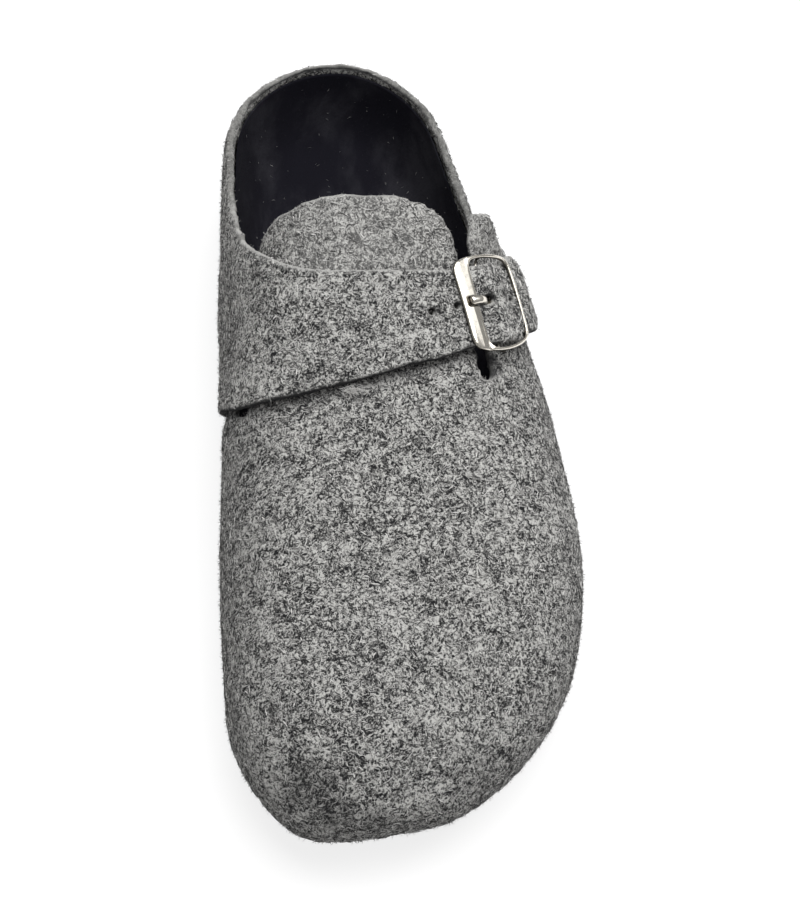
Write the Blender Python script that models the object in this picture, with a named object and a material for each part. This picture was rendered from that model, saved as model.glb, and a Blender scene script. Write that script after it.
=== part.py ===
"""Felt mule, left shoe: outsole, footbed, felt upper, heel strap, buckle frame and buckle prong.

Metres. +Z is up, the toe points to -Y, the heel to +Y and the outer side of the foot to +X.
A station is the distance from the back of the heel along the shoe.
"""
import math
from collections import namedtuple

import bmesh
import bpy
from mathutils import Vector

# Overall sizes
LENGTH = 0.2580
CENTRE_X = 0.0008
FELT = 0.0028
GAP = 0.0003
BED_GAP = 0.0006
LAP = FELT + GAP

# Plan outline: toe and heel arcs as half width, length and power of a rounded quarter, and its flare
Arc = namedtuple("Arc", "half length power flare")
TOE_X = -0.0180
TOE_MEDIAL = Arc(0.0320, 0.0440, 2.15, 0.0)
TOE_LATERAL = Arc(0.0686, 0.0860, 2.30, 0.0)
HEEL_X = -0.0144
HEEL_MEDIAL = Arc(0.0359, 0.0384, 2.0, 0.0)
HEEL_LATERAL = Arc(0.0260, 0.0300, 2.0, 0.24)
TOE_POLE = 0.2090
HEEL_POLE = 0.0400

# Sections of the last over its felt: widest points, crest, and how square each side is
Section = namedtuple(
    "Section", "station medial lateral crest_x crest_z wide_z medial_square lateral_square"
)
SECTIONS = (
    Section(0.0300, -0.0501, 0.0188, -0.0140, 0.0980, 0.0260, 2.20, 1.70),
    Section(0.0660, -0.0506, 0.0274, -0.0130, 0.0930, 0.0270, 2.30, 1.80),
    Section(0.0900, -0.0488, 0.0344, -0.0125, 0.0845, 0.0270, 2.40, 2.25),
    Section(0.1100, -0.0482, 0.0398, -0.0125, 0.0755, 0.0260, 2.50, 2.40),
    Section(0.1300, -0.0494, 0.0450, -0.0130, 0.0675, 0.0250, 2.50, 2.40),
    Section(0.1500, -0.0508, 0.0486, -0.0135, 0.0615, 0.0235, 2.50, 2.40),
    Section(0.1720, -0.0512, 0.0506, -0.0140, 0.0570, 0.0218, 2.50, 2.40),
    Section(0.1900, -0.0510, 0.0502, -0.0145, 0.0540, 0.0208, 2.40, 2.40),
    Section(0.2100, -0.0502, 0.0470, -0.0155, 0.0508, 0.0202, 2.40, 2.30),
    Section(0.2580, -0.0490, 0.0465, -0.0180, 0.0440, 0.0202, 2.40, 2.30),
)
WALL_SHARE = 0.20
TUCK = 0.0024
TOE_TUCK = 0.0032
TOE_BLEND = (0.1900, 0.2420)

# Outsole: bottom and top heights along the shoe, edge insets and tread grooves
Level = namedtuple("Level", "station bottom top")
SOLE_LEVELS = (
    Level(0.0000, 0.0030, 0.0130),
    Level(0.0120, 0.0000, 0.0127),
    Level(0.0700, 0.0000, 0.0120),
    Level(0.0960, 0.0024, 0.0115),
    Level(0.1240, 0.0000, 0.0108),
    Level(0.1600, 0.0000, 0.0090),
    Level(0.2020, 0.0000, 0.0090),
    Level(0.2320, 0.0022, 0.0103),
    Level(0.2580, 0.0075, 0.0135),
)
Wall = namedtuple("Wall", "column lift inset toe_inset")
SOLE_WALL = (
    Wall("bottom", 0.0000, 0.0034, 0.0074),
    Wall("bottom", 0.0016, 0.0014, 0.0058),
    Wall("top", -0.0016, 0.0014, 0.0042),
    Wall("top", 0.0000, 0.0018, 0.0034),
)
GROOVE_WIDTH = 0.0030
GROOVE_DEPTH = 0.0015
GROOVE_MARGIN = 0.0110
GROOVE_PITCH = 0.0095
GROOVE_RUNS = ((0.0180, 0.0660), (0.1310, 0.2070))
BOX_FACES = ((3, 2, 1, 0), (4, 5, 6, 7), (0, 1, 5, 4), (1, 2, 6, 5), (2, 3, 7, 6), (3, 0, 4, 7))

# Footbed: floor height and the height of its edge on each side
Bed = namedtuple("Bed", "station floor medial_edge lateral_edge")
BED_LEVELS = (
    Bed(0.0000, 0.0225, 0.0420, 0.0420),
    Bed(0.0400, 0.0220, 0.0426, 0.0426),
    Bed(0.0660, 0.0215, 0.0420, 0.0410),
    Bed(0.0950, 0.0205, 0.0345, 0.0315),
    Bed(0.1250, 0.0180, 0.0240, 0.0215),
    Bed(0.1700, 0.0165, 0.0180, 0.0180),
    Bed(0.2090, 0.0170, 0.0185, 0.0185),
    Bed(0.2580, 0.0190, 0.0205, 0.0205),
)
BED_RINGS = (1.0, 0.96, 0.90, 0.82, 0.72, 0.60, 0.40, 0.0)
BED_FLAT_SHARE = 0.42

# Upper: throat cut in plan from the inner side to the outer side, with the tongue between two slots
Cut = namedtuple("Cut", "x station")
UPPER_REAR = 0.0560
THROAT = (
    Cut(-0.0700, 0.1040),
    Cut(-0.0466, 0.1040),
    Cut(-0.0460, 0.1360),
    Cut(-0.0452, 0.1390),
    Cut(-0.0440, 0.1402),
    Cut(-0.0427, 0.1392),
    Cut(-0.0420, 0.1360),
    Cut(-0.0415, 0.0990),
    Cut(-0.0411, 0.0945),
    Cut(-0.0394, 0.0906),
    Cut(-0.0357, 0.0889),
    Cut(-0.0283, 0.0881),
    Cut(-0.0118, 0.0875),
    Cut(-0.0018, 0.0877),
    Cut(0.0062, 0.0885),
    Cut(0.0115, 0.0906),
    Cut(0.0146, 0.0945),
    Cut(0.0168, 0.1010),
    Cut(0.0204, 0.1010),
    Cut(0.0189, 0.0985),
    Cut(0.0184, 0.0950),
    Cut(0.0188, 0.0900),
    Cut(0.0202, 0.0862),
    Cut(0.0235, 0.0838),
    Cut(0.0235, -0.0200),
    Cut(-0.0700, -0.0200),
)
OUTER_SLOT = (
    Cut(0.0165, 0.0990),
    Cut(0.0222, 0.1310),
    Cut(0.0227, 0.1334),
    Cut(0.0240, 0.1344),
    Cut(0.0254, 0.1334),
    Cut(0.0257, 0.1308),
    Cut(0.0207, 0.1030),
    Cut(0.0206, 0.0990),
)
SLOT_LEAN = (0.55, 0.0, 0.835)
SLOT_REACH = (0.006, 0.008)
Side = namedtuple("Side", "station z")
QUARTER = (
    Side(0.0940, 0.0850),
    Side(0.0890, 0.0775),
    Side(0.0852, 0.0722),
    Side(0.0836, 0.0690),
    Side(0.0836, 0.0650),
    Side(0.0840, 0.0600),
    Side(0.0836, 0.0540),
    Side(0.0822, 0.0450),
    Side(0.0800, 0.0330),
    Side(0.0775, 0.0200),
    Side(0.0755, 0.0050),
    Side(0.0200, 0.0050),
    Side(0.0200, 0.1200),
    Side(0.0940, 0.1200),
)
QUARTER_X = (0.0185, 0.0700)
QUARTER_LAP = (0.0840, 0.1060)
TAB_FLARE = 0.0030
TAB_FLARE_END = (0.0860, 0.0970)
TAB_FLARE_RISE = (0.50, 0.62)
TAB_FLARE_FALL = (0.635, 0.685)

# Heel strap: rim height round the heel, and the strap's two edges as station and girth
Rim = namedtuple("Rim", "turn z")
RIM = (
    Rim(2.728, 0.0490),
    Rim(2.763, 0.0490),
    Rim(2.840, 0.0470),
    Rim(3.000, 0.0447),
    Rim(3.250, 0.0433),
    Rim(3.500, 0.0428),
    Rim(3.750, 0.0433),
    Rim(4.000, 0.0450),
    Rim(4.085, 0.0478),
    Rim(4.165, 0.0530),
    Rim(4.245, 0.0612),
)
BAND_TURNS = (2.728, 4.26)
MEDIAL_LAP = (0.0640, 0.0940)
Edge = namedtuple("Edge", "front_station front_girth rear_station rear_girth")
STRAP_EDGES = (
    Edge(0.1150, 0.000, 0.0840, 0.000),
    Edge(0.1180, 0.045, 0.0838, 0.045),
    Edge(0.1232, 0.100, 0.0834, 0.105),
    Edge(0.1300, 0.155, 0.0826, 0.165),
    Edge(0.1350, 0.205, 0.0815, 0.228),
    Edge(0.1385, 0.250, 0.0880, 0.252),
    Edge(0.1410, 0.310, 0.0945, 0.290),
    Edge(0.1420, 0.375, 0.1015, 0.345),
    Edge(0.1415, 0.440, 0.1065, 0.402),
    Edge(0.1395, 0.492, 0.1085, 0.450),
    Edge(0.1370, 0.520, 0.1089, 0.500),
    Edge(0.1340, 0.550, 0.1082, 0.543),
    Edge(0.1324, 0.578, 0.1076, 0.574),
)
STRAP_JOIN_ROW = 4
STRAP_COLUMNS = 12
STRAP_ROWS_PER_STEP = 2

# Buckle: its place on the last, and sizes along the strap, along the bars and off the felt
BUCKLE_STATION = 0.1126
BUCKLE_GIRTH = 0.678
BUCKLE_TURN = 0.11
FRAME_HALF_ALONG = 0.0114
FRAME_HALF_ACROSS = 0.0131
FRAME_BULGE = 0.0013
FRAME_TAPER = 0.0026
FRAME_TAPER_START = -0.0040
FRAME_POWER = 9.0
FRONT_BAR = 0.0050
REAR_BAR = 0.0012
RAIL = 0.0010
FRAME_THICK = 0.0015
FRAME_LIFT = 0.00445
FRAME_BEND_RADIUS = 0.0350
FRAME_POINTS = 64
Rib = namedtuple("Rib", "share height")
FRAME_PROFILE = (
    Rib(0.00, -0.3),
    Rib(0.00, 0.3),
    Rib(0.18, 0.5),
    Rib(0.82, 0.5),
    Rib(1.00, 0.3),
    Rib(1.00, -0.3),
    Rib(0.82, -0.5),
    Rib(0.18, -0.5),
)
BAR_RADIUS = 0.0005
BAR_LIFT = 0.00085
BAR_CORNER = 0.0012
NOTCH_DEPTH = 0.0005
PRONG_ACROSS = 0.0008
PRONG_WIDTH = 0.0021
PRONG_THICK = 0.0011
Pin = namedtuple("Pin", "along lift")
PRONG_PATH = (
    Pin(0.00122, 0.00085),
    Pin(0.00106, 0.00146),
    Pin(0.00061, 0.00191),
    Pin(0.00000, 0.00207),
    Pin(-0.00120, 0.00215),
    Pin(-0.00240, 0.00265),
    Pin(-0.00350, 0.00370),
    Pin(-0.00470, 0.00470),
    Pin(-0.00640, 0.00515),
    Pin(-0.00800, 0.00500),
    Pin(-0.00940, 0.00465),
)

# Strap under the buckle, in the buckle's own directions
STRAP_HALF = 0.0117
STRAP_SHIFT = -0.0002
STRAP_END_SHIFT = 0.0036
STRAP_END_RUN = (0.0080, 0.0140)
STRAP_STEPS = (-0.0120, -0.0095, -0.0070, -0.0045, -0.0022, 0.0, 0.0022, 0.0045, 0.0070, 0.0095)
STRAP_TIP_STEPS = (0.0125, 0.0165, 0.0178, 0.0191, 0.0202, 0.0210, 0.0214)
STRAP_BUMP = 0.00250
STRAP_BUMP_HALF = 0.0090
STRAP_BED_RADIUS = 0.0430
STRAP_TIP_ROUND = 0.0050
STRAP_TIP_SLOPE = 0.30
HOLE_RADIUS = 0.0011
HOLE_STEPS = (-0.0118, 0.0074)
HOLE_ON_INSTEP = (0.1190, 0.578)
SLOT_ALONG = (-0.0056, -0.0006)
SLOT_HALF = 0.0014

COLOURS = {
    "outsole": (0.020, 0.020, 0.022),
    "footbed": (0.012, 0.012, 0.016),
    "upper": (0.180, 0.180, 0.180),
    "heel_strap": (0.200, 0.200, 0.200),
    "buckle_frame": (0.700, 0.690, 0.660),
    "buckle_prong": (0.700, 0.690, 0.660),
}


def clear_scene():
    """Empty the scene."""
    for item in list(bpy.data.objects):
        bpy.data.objects.remove(item, do_unlink=True)


def blend(x, low, high):
    """Ease from 0 at low to 1 at high."""
    t = min(max((x - low) / (high - low), 0.0), 1.0)
    return t * t * (3.0 - 2.0 * t)


def smooth(rows, key, column, x):
    """Value of a table column at x: a cubic through the rows that never overshoots them."""
    xs = [getattr(row, key) for row in rows]
    ys = [getattr(row, column) for row in rows]
    last = len(xs) - 1
    x = min(max(x, xs[0]), xs[last])
    i = 0
    while i < last - 1 and x > xs[i + 1]:
        i += 1
    rise = [(ys[k + 1] - ys[k]) / (xs[k + 1] - xs[k]) for k in range(last)]

    def slope(k):
        if k == 0:
            return rise[0]
        if k == last:
            return rise[last - 1]
        if rise[k - 1] * rise[k] <= 0.0:
            return 0.0
        return 2.0 * rise[k - 1] * rise[k] / (rise[k - 1] + rise[k])

    h = xs[i + 1] - xs[i]
    t = (x - xs[i]) / h
    low = (1.0 + 2.0 * t) * (1.0 - t) ** 2 * ys[i] + t * (1.0 - t) ** 2 * h * slope(i)
    high = t * t * (3.0 - 2.0 * t) * ys[i + 1] + t * t * (t - 1.0) * h * slope(i + 1)
    return low + high


def section(column, station):
    """One size of the last at a station."""
    return smooth(SECTIONS, "station", column, station)


def sole(column, station):
    """Bottom or top height of the outsole at a station."""
    return smooth(SOLE_LEVELS, "station", column, station)


def plan_x(station, lateral):
    """X of the plan outline at a station."""
    toe = TOE_LATERAL if lateral else TOE_MEDIAL
    heel = HEEL_LATERAL if lateral else HEEL_MEDIAL
    sign = 1.0 if lateral else -1.0
    if station > LENGTH - toe.length:
        t = min((station - LENGTH + toe.length) / toe.length, 1.0)
        return TOE_X + sign * toe.half * math.sqrt(1.0 - t ** toe.power)
    if station < heel.length:
        t = min((heel.length - station) / heel.length, 1.0)
        return HEEL_X + sign * (heel.half * math.sqrt(1.0 - t ** heel.power) + heel.flare * station)
    return section("lateral" if lateral else "medial", station)


def plan(turn):
    """Outline point, spine point and share of the outer side at a turn.

    Turns 0 to 1 run up the inner side, 1 to 2 round the toe, 2 to 3 down the outer side
    and 3 to 4 round the heel.
    """
    turn = turn % 4.0
    lane = int(turn)
    t = turn - lane
    run = TOE_POLE - HEEL_POLE
    if lane == 0 or lane == 2:
        station = HEEL_POLE + run * (t if lane == 0 else 1.0 - t)
        lateral = lane == 2
        share = 1.0 if lateral else 0.0
        spine = (section("crest_x", station), station)
    elif lane == 1:
        lateral = t > 0.5
        share = blend(t, 0.0, 1.0)
        angle = math.pi * (1.0 - t if lateral else t)
        station = TOE_POLE + (LENGTH - TOE_POLE) * math.sin(min(angle, math.pi / 2))
        spine = (section("crest_x", TOE_POLE), TOE_POLE)
    else:
        lateral = t < 0.5
        share = 1.0 - blend(t, 0.0, 1.0)
        angle = math.pi * (t if lateral else 1.0 - t)
        station = HEEL_POLE * (1.0 - math.sin(min(angle, math.pi / 2)))
        spine = (section("crest_x", HEEL_POLE), HEEL_POLE)
    return (plan_x(station, lateral), station), spine, share


def mix(a, b, share):
    """Value between a and b."""
    return a + (b - a) * share


def squareness(station, share):
    """How square the section is at a station and a share of the outer side."""
    return mix(section("medial_square", station), section("lateral_square", station), share)


def place(x, station, z):
    """Point of the shoe from its plan position."""
    return Vector((x + CENTRE_X, LENGTH / 2 - station, z))


def last_point(turn, half):
    """Point of the last over its felt: half 0 is the feather edge and 1 the crest."""
    edge, spine, share = plan(turn)
    wall = min(half / WALL_SHARE, 1.0)
    angle = max(half - WALL_SHARE, 0.0) / (1.0 - WALL_SHARE) * math.pi / 2
    square = squareness(edge[1], share)
    reach = max(math.cos(angle), 0.0) ** (2.0 / square)
    rise = math.sin(angle) ** (2.0 / square)
    dx = edge[0] - spine[0]
    ds = edge[1] - spine[1]
    size = math.hypot(dx, ds)
    tuck = mix(TUCK, TOE_TUCK, blend(edge[1], *TOE_BLEND)) * (1.0 - math.sin(wall * math.pi / 2)) / size
    x = spine[0] + dx * (reach - tuck)
    station = spine[1] + ds * (reach - tuck)
    wide = section("wide_z", edge[1])
    if half < WALL_SHARE:
        low = sole("top", edge[1]) + GAP
        return place(x, station, low + (wide - low) * wall)
    return place(x, station, wide + (section("crest_z", station) - wide) * rise)


def last_normal(turn, half):
    """Outward direction of the last, level at the feather edge."""
    if half > 0.995:
        lane = int(turn % 4.0)
        turn = (0.999, 0.999, turn, 0.001)[lane] if lane in (1, 3) else turn
        half = 0.995
    step = 0.004
    along = last_point(turn + step, half) - last_point(turn - step, half)
    low = max(half - step, 0.0)
    up = last_point(turn, min(half + step, 1.0)) - last_point(turn, low)
    normal = along.cross(up)
    spine = plan(turn)[1]
    centre = place(spine[0], spine[1], 0.020)
    if normal.dot(last_point(turn, half) - centre) < 0.0:
        normal.negate()
    normal.normalize()
    normal.z *= min(half / WALL_SHARE, 1.0)
    return normal.normalized()


def felt_point(turn, half, depth):
    """Point at a depth over the last."""
    return last_point(turn, half) + last_normal(turn, half) * depth


def side_turn(station, lateral):
    """Turn of a station on one side."""
    t = (station - HEEL_POLE) / (TOE_POLE - HEEL_POLE)
    return 3.0 - t if lateral else t


def girth_point(station, girth, depth):
    """Point at a station and a girth from 0 at the inner feather edge to 1 at the outer one."""
    lateral = girth > 0.5
    half = 2.0 * (1.0 - girth) if lateral else 2.0 * girth
    return felt_point(side_turn(station, lateral), half, depth)


def half_at(turn, z):
    """Half girth of the last at a height over its widest line."""
    edge, spine, share = plan(turn)
    wide = section("wide_z", edge[1])
    square = squareness(edge[1], share)
    rise = (z - wide) / (section("crest_z", edge[1]) - wide)
    angle = math.asin(rise ** (square / 2.0))
    return WALL_SHARE + (1.0 - WALL_SHARE) * angle / (math.pi / 2)


def surface_z(x, station):
    """Height of the last at a plan position on its outer side."""
    crest = section("crest_x", station)
    square = squareness(station, 1.0)
    reach = (x - crest) / (plan_x(station, True) - crest)
    rise = math.sin(math.acos(reach ** (square / 2.0))) ** (2.0 / square)
    return mix(section("wide_z", station), section("crest_z", station), rise)


def make_object(name, points, faces):
    """Closed mesh object with one material."""
    mesh = bpy.data.meshes.new(name)
    mesh.from_pydata([tuple(p) for p in points], [], faces)
    shape = bmesh.new()
    shape.from_mesh(mesh)
    bmesh.ops.remove_doubles(shape, verts=shape.verts, dist=0.00002)
    bmesh.ops.recalc_face_normals(shape, faces=shape.faces)
    shape.to_mesh(mesh)
    shape.free()
    item = bpy.data.objects.new(name, mesh)
    bpy.context.scene.collection.objects.link(item)
    if name in COLOURS:
        material = bpy.data.materials.new(name)
        material.use_nodes = True
        shader = material.node_tree.nodes["Principled BSDF"]
        shader.inputs["Base Color"].default_value = COLOURS[name] + (1.0,)
        mesh.materials.append(material)
    return item


def boolean(item, tool, operation):
    """Exact Boolean of an object with a tool that is not rendered."""
    modifier = item.modifiers.new(tool.name, "BOOLEAN")
    modifier.operation = operation
    modifier.solver = "EXACT"
    modifier.object = tool
    tool.hide_render = True
    tool.display_type = "WIRE"


def sheet_solid(name, cells, outer, inner):
    """Closed sheet from cells of keys and the outer and inner point of each key."""
    keys = sorted({key for cell in cells for key in cell}, key=str)
    index = {key: i for i, key in enumerate(keys)}
    count = len(keys)
    points = [outer[key] for key in keys] + [inner[key] for key in keys]
    faces = []
    edges = {}
    for cell in cells:
        ring = [index[key] for i, key in enumerate(cell) if key != cell[i - 1]]
        faces.append(ring)
        faces.append([i + count for i in reversed(ring)])
        for a, b in zip(ring, ring[1:] + ring[:1]):
            edges.setdefault(frozenset((a, b)), []).append((a, b))
    for uses in edges.values():
        if len(uses) == 1:
            a, b = uses[0]
            faces.append([b, a, a + count, b + count])
    return make_object(name, points, faces)


def prism(name, ring, direction):
    """Closed prism from a ring of points and a direction."""
    count = len(ring)
    points = list(ring) + [p + direction for p in ring]
    faces = [list(range(count)), list(range(2 * count - 1, count - 1, -1))]
    for i in range(count):
        j = (i + 1) % count
        faces.append([i, i + count, j + count, j])
    return make_object(name, points, faces)


def perimeter(counts):
    """Turns round the plan with a number of steps for each of the four lanes."""
    return [lane + i / count for lane, count in enumerate(counts) for i in range(count)]


def plan_point(turn, inset, z):
    """Point of the outline moved in toward the spine."""
    edge, spine, share = plan(turn)
    size = math.hypot(edge[0] - spine[0], edge[1] - spine[1])
    reach = 1.0 - inset / size
    return place(mix(spine[0], edge[0], reach), mix(spine[1], edge[1], reach), z)


def loft(name, loops):
    """Closed solid from loops of equal length, each end closed on to its spine."""
    count = len(loops[0])
    points = [p for loop in loops for p in loop]
    faces = []
    for row in range(len(loops) - 1):
        for i in range(count):
            j = (i + 1) % count
            faces.append([row * count + i, row * count + j, (row + 1) * count + j, (row + 1) * count + i])
    return make_object(name, points, faces)


def build_outsole():
    """Rubber outsole with heel, raised arch, toe spring and cross grooves."""
    turns = perimeter((22, 22, 22, 16))
    loops = [[spine_point(t, sole("bottom", plan(t)[1][1])) for t in turns]]
    for wall in SOLE_WALL:
        loop = []
        for t in turns:
            station = plan(t)[0][1]
            inset = mix(wall.inset, wall.toe_inset, blend(station, *TOE_BLEND))
            loop.append(plan_point(t, inset, sole(wall.column, station) + wall.lift))
        loops.append(loop)
    loops.append([spine_point(t, sole("top", plan(t)[1][1])) for t in turns])
    outsole = loft("outsole", loops)
    boolean(outsole, build_grooves(), "DIFFERENCE")


def spine_point(turn, z):
    """Point of the spine below a rib."""
    spine = plan(turn)[1]
    return place(spine[0], spine[1], z)


def build_grooves():
    """Cross grooves of the tread as one cutter."""
    points = []
    faces = []
    for start, end in GROOVE_RUNS:
        count = int((end - start) / GROOVE_PITCH + 0.5)
        for i in range(count + 1):
            station = start + (end - start) * i / count
            low = plan_x(station, False) + GROOVE_MARGIN
            high = plan_x(station, True) - GROOVE_MARGIN
            first = len(points)
            for z in (-0.004, GROOVE_DEPTH + sole("bottom", station)):
                for x, s in ((low, -1), (high, -1), (high, 1), (low, 1)):
                    points.append(place(x, station + s * GROOVE_WIDTH / 2, z))
            faces.extend([first + i for i in face] for face in BOX_FACES)
    return make_object("tread_cut", points, faces)


def build_footbed():
    """Footbed with a deep heel cup, arch support and toe spring."""
    turns = perimeter((22, 20, 22, 18))
    depth = -FELT - BED_GAP

    def edge_z(turn):
        edge, spine, share = plan(turn)
        medial = smooth(BED_LEVELS, "station", "medial_edge", edge[1])
        return mix(medial, smooth(BED_LEVELS, "station", "lateral_edge", edge[1]), share)

    def side_half(turn, share):
        edge = plan(turn)[0]
        low = sole("top", edge[1]) + GAP
        wide = section("wide_z", edge[1])
        z = low + (edge_z(turn) - low) * share
        if z < wide:
            return WALL_SHARE * (z - low) / (wide - low)
        return half_at(turn, z)

    loops = [[spine_point(t, sole("top", plan(t)[1][1]) + GAP) for t in turns]]
    for share in (0.0, 0.25, 0.5, 0.75):
        loops.append([felt_point(t, side_half(t, share), depth) for t in turns])
    rim = [felt_point(t, side_half(t, 1.0), depth) for t in turns]
    for ring in BED_RINGS:
        loop = []
        for t, top in zip(turns, rim):
            centre = spine_point(t, 0.0)
            p = centre.lerp(top, ring)
            station = LENGTH / 2 - p.y
            floor = smooth(BED_LEVELS, "station", "floor", station)
            climb = max(ring - BED_FLAT_SHARE, 0.0) / (1.0 - BED_FLAT_SHARE)
            loop.append(Vector((p.x, p.y, floor + (top.z - floor) * climb ** 3)))
        loops.append(loop)
    loft("footbed", loops)


def tab_flare(half):
    """Share of the tab's outward flare at a half girth."""
    return blend(half, *TAB_FLARE_RISE) * (1.0 - blend(half, *TAB_FLARE_FALL))


def build_upper():
    """Felt upper: vamp with tongue and outer quarter, one hollow sheet open at throat and sole."""
    steps = 20
    rows = 15
    stations = [UPPER_REAR + (TOE_POLE - UPPER_REAR) * i / steps for i in range(steps + 1)]
    columns = [(side_turn(s, False), ("crest", i)) for i, s in enumerate(stations)]
    arc = 26
    columns += [(1.0 + i / arc, ("crest", steps)) for i in range(1, arc)]
    columns += [(side_turn(s, True), ("crest", steps - i)) for i, s in enumerate(reversed(stations))]
    outer = {}
    inner = {}
    names = []
    for column, (turn, crest) in enumerate(columns):
        edge, spine, share = plan(turn)
        lap = LAP * share * (1.0 - blend(edge[1], *QUARTER_LAP))
        flare = TAB_FLARE * share * (1.0 - blend(edge[1], *TAB_FLARE_END))
        line = []
        for row in range(rows + 1):
            half = row / rows
            half = half * (0.55 + 0.45 * half)
            key = crest if row == rows else (column, row)
            depth = lap * (1.0 - blend(half, 0.6, 1.0)) + flare * tab_flare(half)
            outer[key] = felt_point(turn, half, depth)
            inner[key] = felt_point(turn, half, depth - FELT)
            line.append(key)
        names.append(line)
    cells = []
    for left, right in zip(names, names[1:]):
        for row in range(rows):
            cells.append((left[row], right[row], right[row + 1], left[row + 1]))
    upper = sheet_solid("upper", cells, outer, inner)
    throat = [place(cut.x, cut.station, 0.004) for cut in THROAT]
    boolean(upper, prism("throat_cut", throat, Vector((0.0, 0.0, 0.12))), "DIFFERENCE")
    lean = Vector(SLOT_LEAN)
    slot = [place(*cut, surface_z(*cut)) - lean * SLOT_REACH[0] for cut in OUTER_SLOT]
    boolean(upper, prism("slot_cut", slot, lean * sum(SLOT_REACH)), "DIFFERENCE")
    quarter = [place(QUARTER_X[0], side.station, side.z) for side in QUARTER]
    width = QUARTER_X[1] - QUARTER_X[0]
    boolean(upper, prism("quarter_cut", quarter, Vector((width, 0.0, 0.0))), "DIFFERENCE")


def buckle_frame():
    """Origin of the buckle on the felt and its directions along the strap, across it and off it."""
    origin = girth_point(BUCKLE_STATION, BUCKLE_GIRTH, 0.0)
    turn = side_turn(BUCKLE_STATION, True)
    off = last_normal(turn, 2.0 * (1.0 - BUCKLE_GIRTH))
    rear = girth_point(BUCKLE_STATION - 0.001, BUCKLE_GIRTH, 0.0) - origin
    rear = (rear - off * rear.dot(off)).normalized()
    along = rear.cross(off)
    across = rear * math.cos(BUCKLE_TURN) - along * math.sin(BUCKLE_TURN)
    return origin, across.cross(off), across, off


def buckle_point(axes, along, across, lift):
    """Point from the buckle's own sizes."""
    origin, t, b, n = axes
    return origin + t * along + b * across + n * lift


def strap_lift(along):
    """Height of the strap's underside below the buckle."""
    end = STRAP_STEPS[-1]
    base = GAP - min(along, end) ** 2 / (2.0 * STRAP_BED_RADIUS)
    if along > end:
        return base - STRAP_TIP_SLOPE * (along - end)
    if abs(along) < STRAP_BUMP_HALF:
        base += STRAP_BUMP * 0.5 * (1.0 + math.cos(math.pi * along / STRAP_BUMP_HALF))
    return base


def strap_row(value):
    """Strap edges at a row number between the rows of the table."""
    low = min(int(value), len(STRAP_EDGES) - 2)
    t = value - low
    rows = [STRAP_EDGES[min(max(low + k, 0), len(STRAP_EDGES) - 1)] for k in (-1, 0, 1, 2)]

    def spline(a, b, c, d):
        return b + 0.5 * t * (c - a + t * (2 * a - 5 * b + 4 * c - d + t * (3 * (b - c) + d - a)))

    return Edge(*[spline(*column) for column in zip(*rows)])


def build_heel_strap(axes):
    """Felt band round the heel that runs on over the instep as the strap."""
    outer = {}
    inner = {}
    cells = []
    steps = STRAP_ROWS_PER_STEP
    count = (len(STRAP_EDGES) - 1) * steps
    join = STRAP_JOIN_ROW * steps

    def add(key, turn, half, depth):
        inner[key] = felt_point(turn, half, depth)
        outer[key] = felt_point(turn, half, depth + FELT)

    def medial_depth(station):
        return LAP * blend(station, *MEDIAL_LAP) - FELT

    for row in range(count + 1):
        edge = strap_row(row / steps)
        for column in range(STRAP_COLUMNS + 1):
            t = column / STRAP_COLUMNS
            station = edge.rear_station + (edge.front_station - edge.rear_station) * t
            girth = edge.rear_girth + (edge.front_girth - edge.rear_girth) * t
            lateral = girth > 0.5
            half = 2.0 * (1.0 - girth) if lateral else 2.0 * girth
            depth = GAP if lateral else medial_depth(station)
            add((row, column), side_turn(station, lateral), half, depth)
    steps_under = STRAP_STEPS + STRAP_TIP_STEPS
    for i, along in enumerate(steps_under):
        row = count + 1 + i
        lift = strap_lift(along)
        reach = max(along - STRAP_TIP_STEPS[-1] + STRAP_TIP_ROUND, 0.0)
        half = STRAP_HALF - STRAP_TIP_ROUND + math.sqrt(STRAP_TIP_ROUND ** 2 - reach ** 2)
        middle = STRAP_SHIFT + STRAP_END_SHIFT * blend(along, *STRAP_END_RUN)
        for column in range(STRAP_COLUMNS + 1):
            across = middle + half * (1.0 - 2.0 * column / STRAP_COLUMNS)
            inner[(row, column)] = buckle_point(axes, along, across, lift)
            outer[(row, column)] = buckle_point(axes, along, across, lift + FELT)
    for row in range(count + len(steps_under)):
        for column in range(STRAP_COLUMNS):
            cells.append(((row, column), (row, column + 1), (row + 1, column + 1), (row + 1, column)))

    band = 30
    for i in range(band):
        turn = BAND_TURNS[0] + (BAND_TURNS[1] - BAND_TURNS[0]) * i / band
        top = half_at(turn, smooth(RIM, "turn", "z", turn))
        station = plan(turn)[0][1]
        depth = medial_depth(station) if turn > 4.0 else -FELT
        for row in range(join + 1):
            share = strap_row(row / steps).rear_girth / strap_row(STRAP_JOIN_ROW).rear_girth
            add(("band", i, row), turn, top * share, depth)
    for row in range(join + 1):
        for layer in (outer, inner):
            layer[("band", band, row)] = layer[(row, 0)]
    for i in range(band):
        for row in range(join):
            cell = [("band", i, row), ("band", i + 1, row), ("band", i + 1, row + 1), ("band", i, row + 1)]
            cells.append(tuple((key[2], 0) if key[1] == band else key for key in cell))
    strap = sheet_solid("heel_strap", cells, outer, inner)
    boolean(strap, build_holes(axes), "DIFFERENCE")


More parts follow.
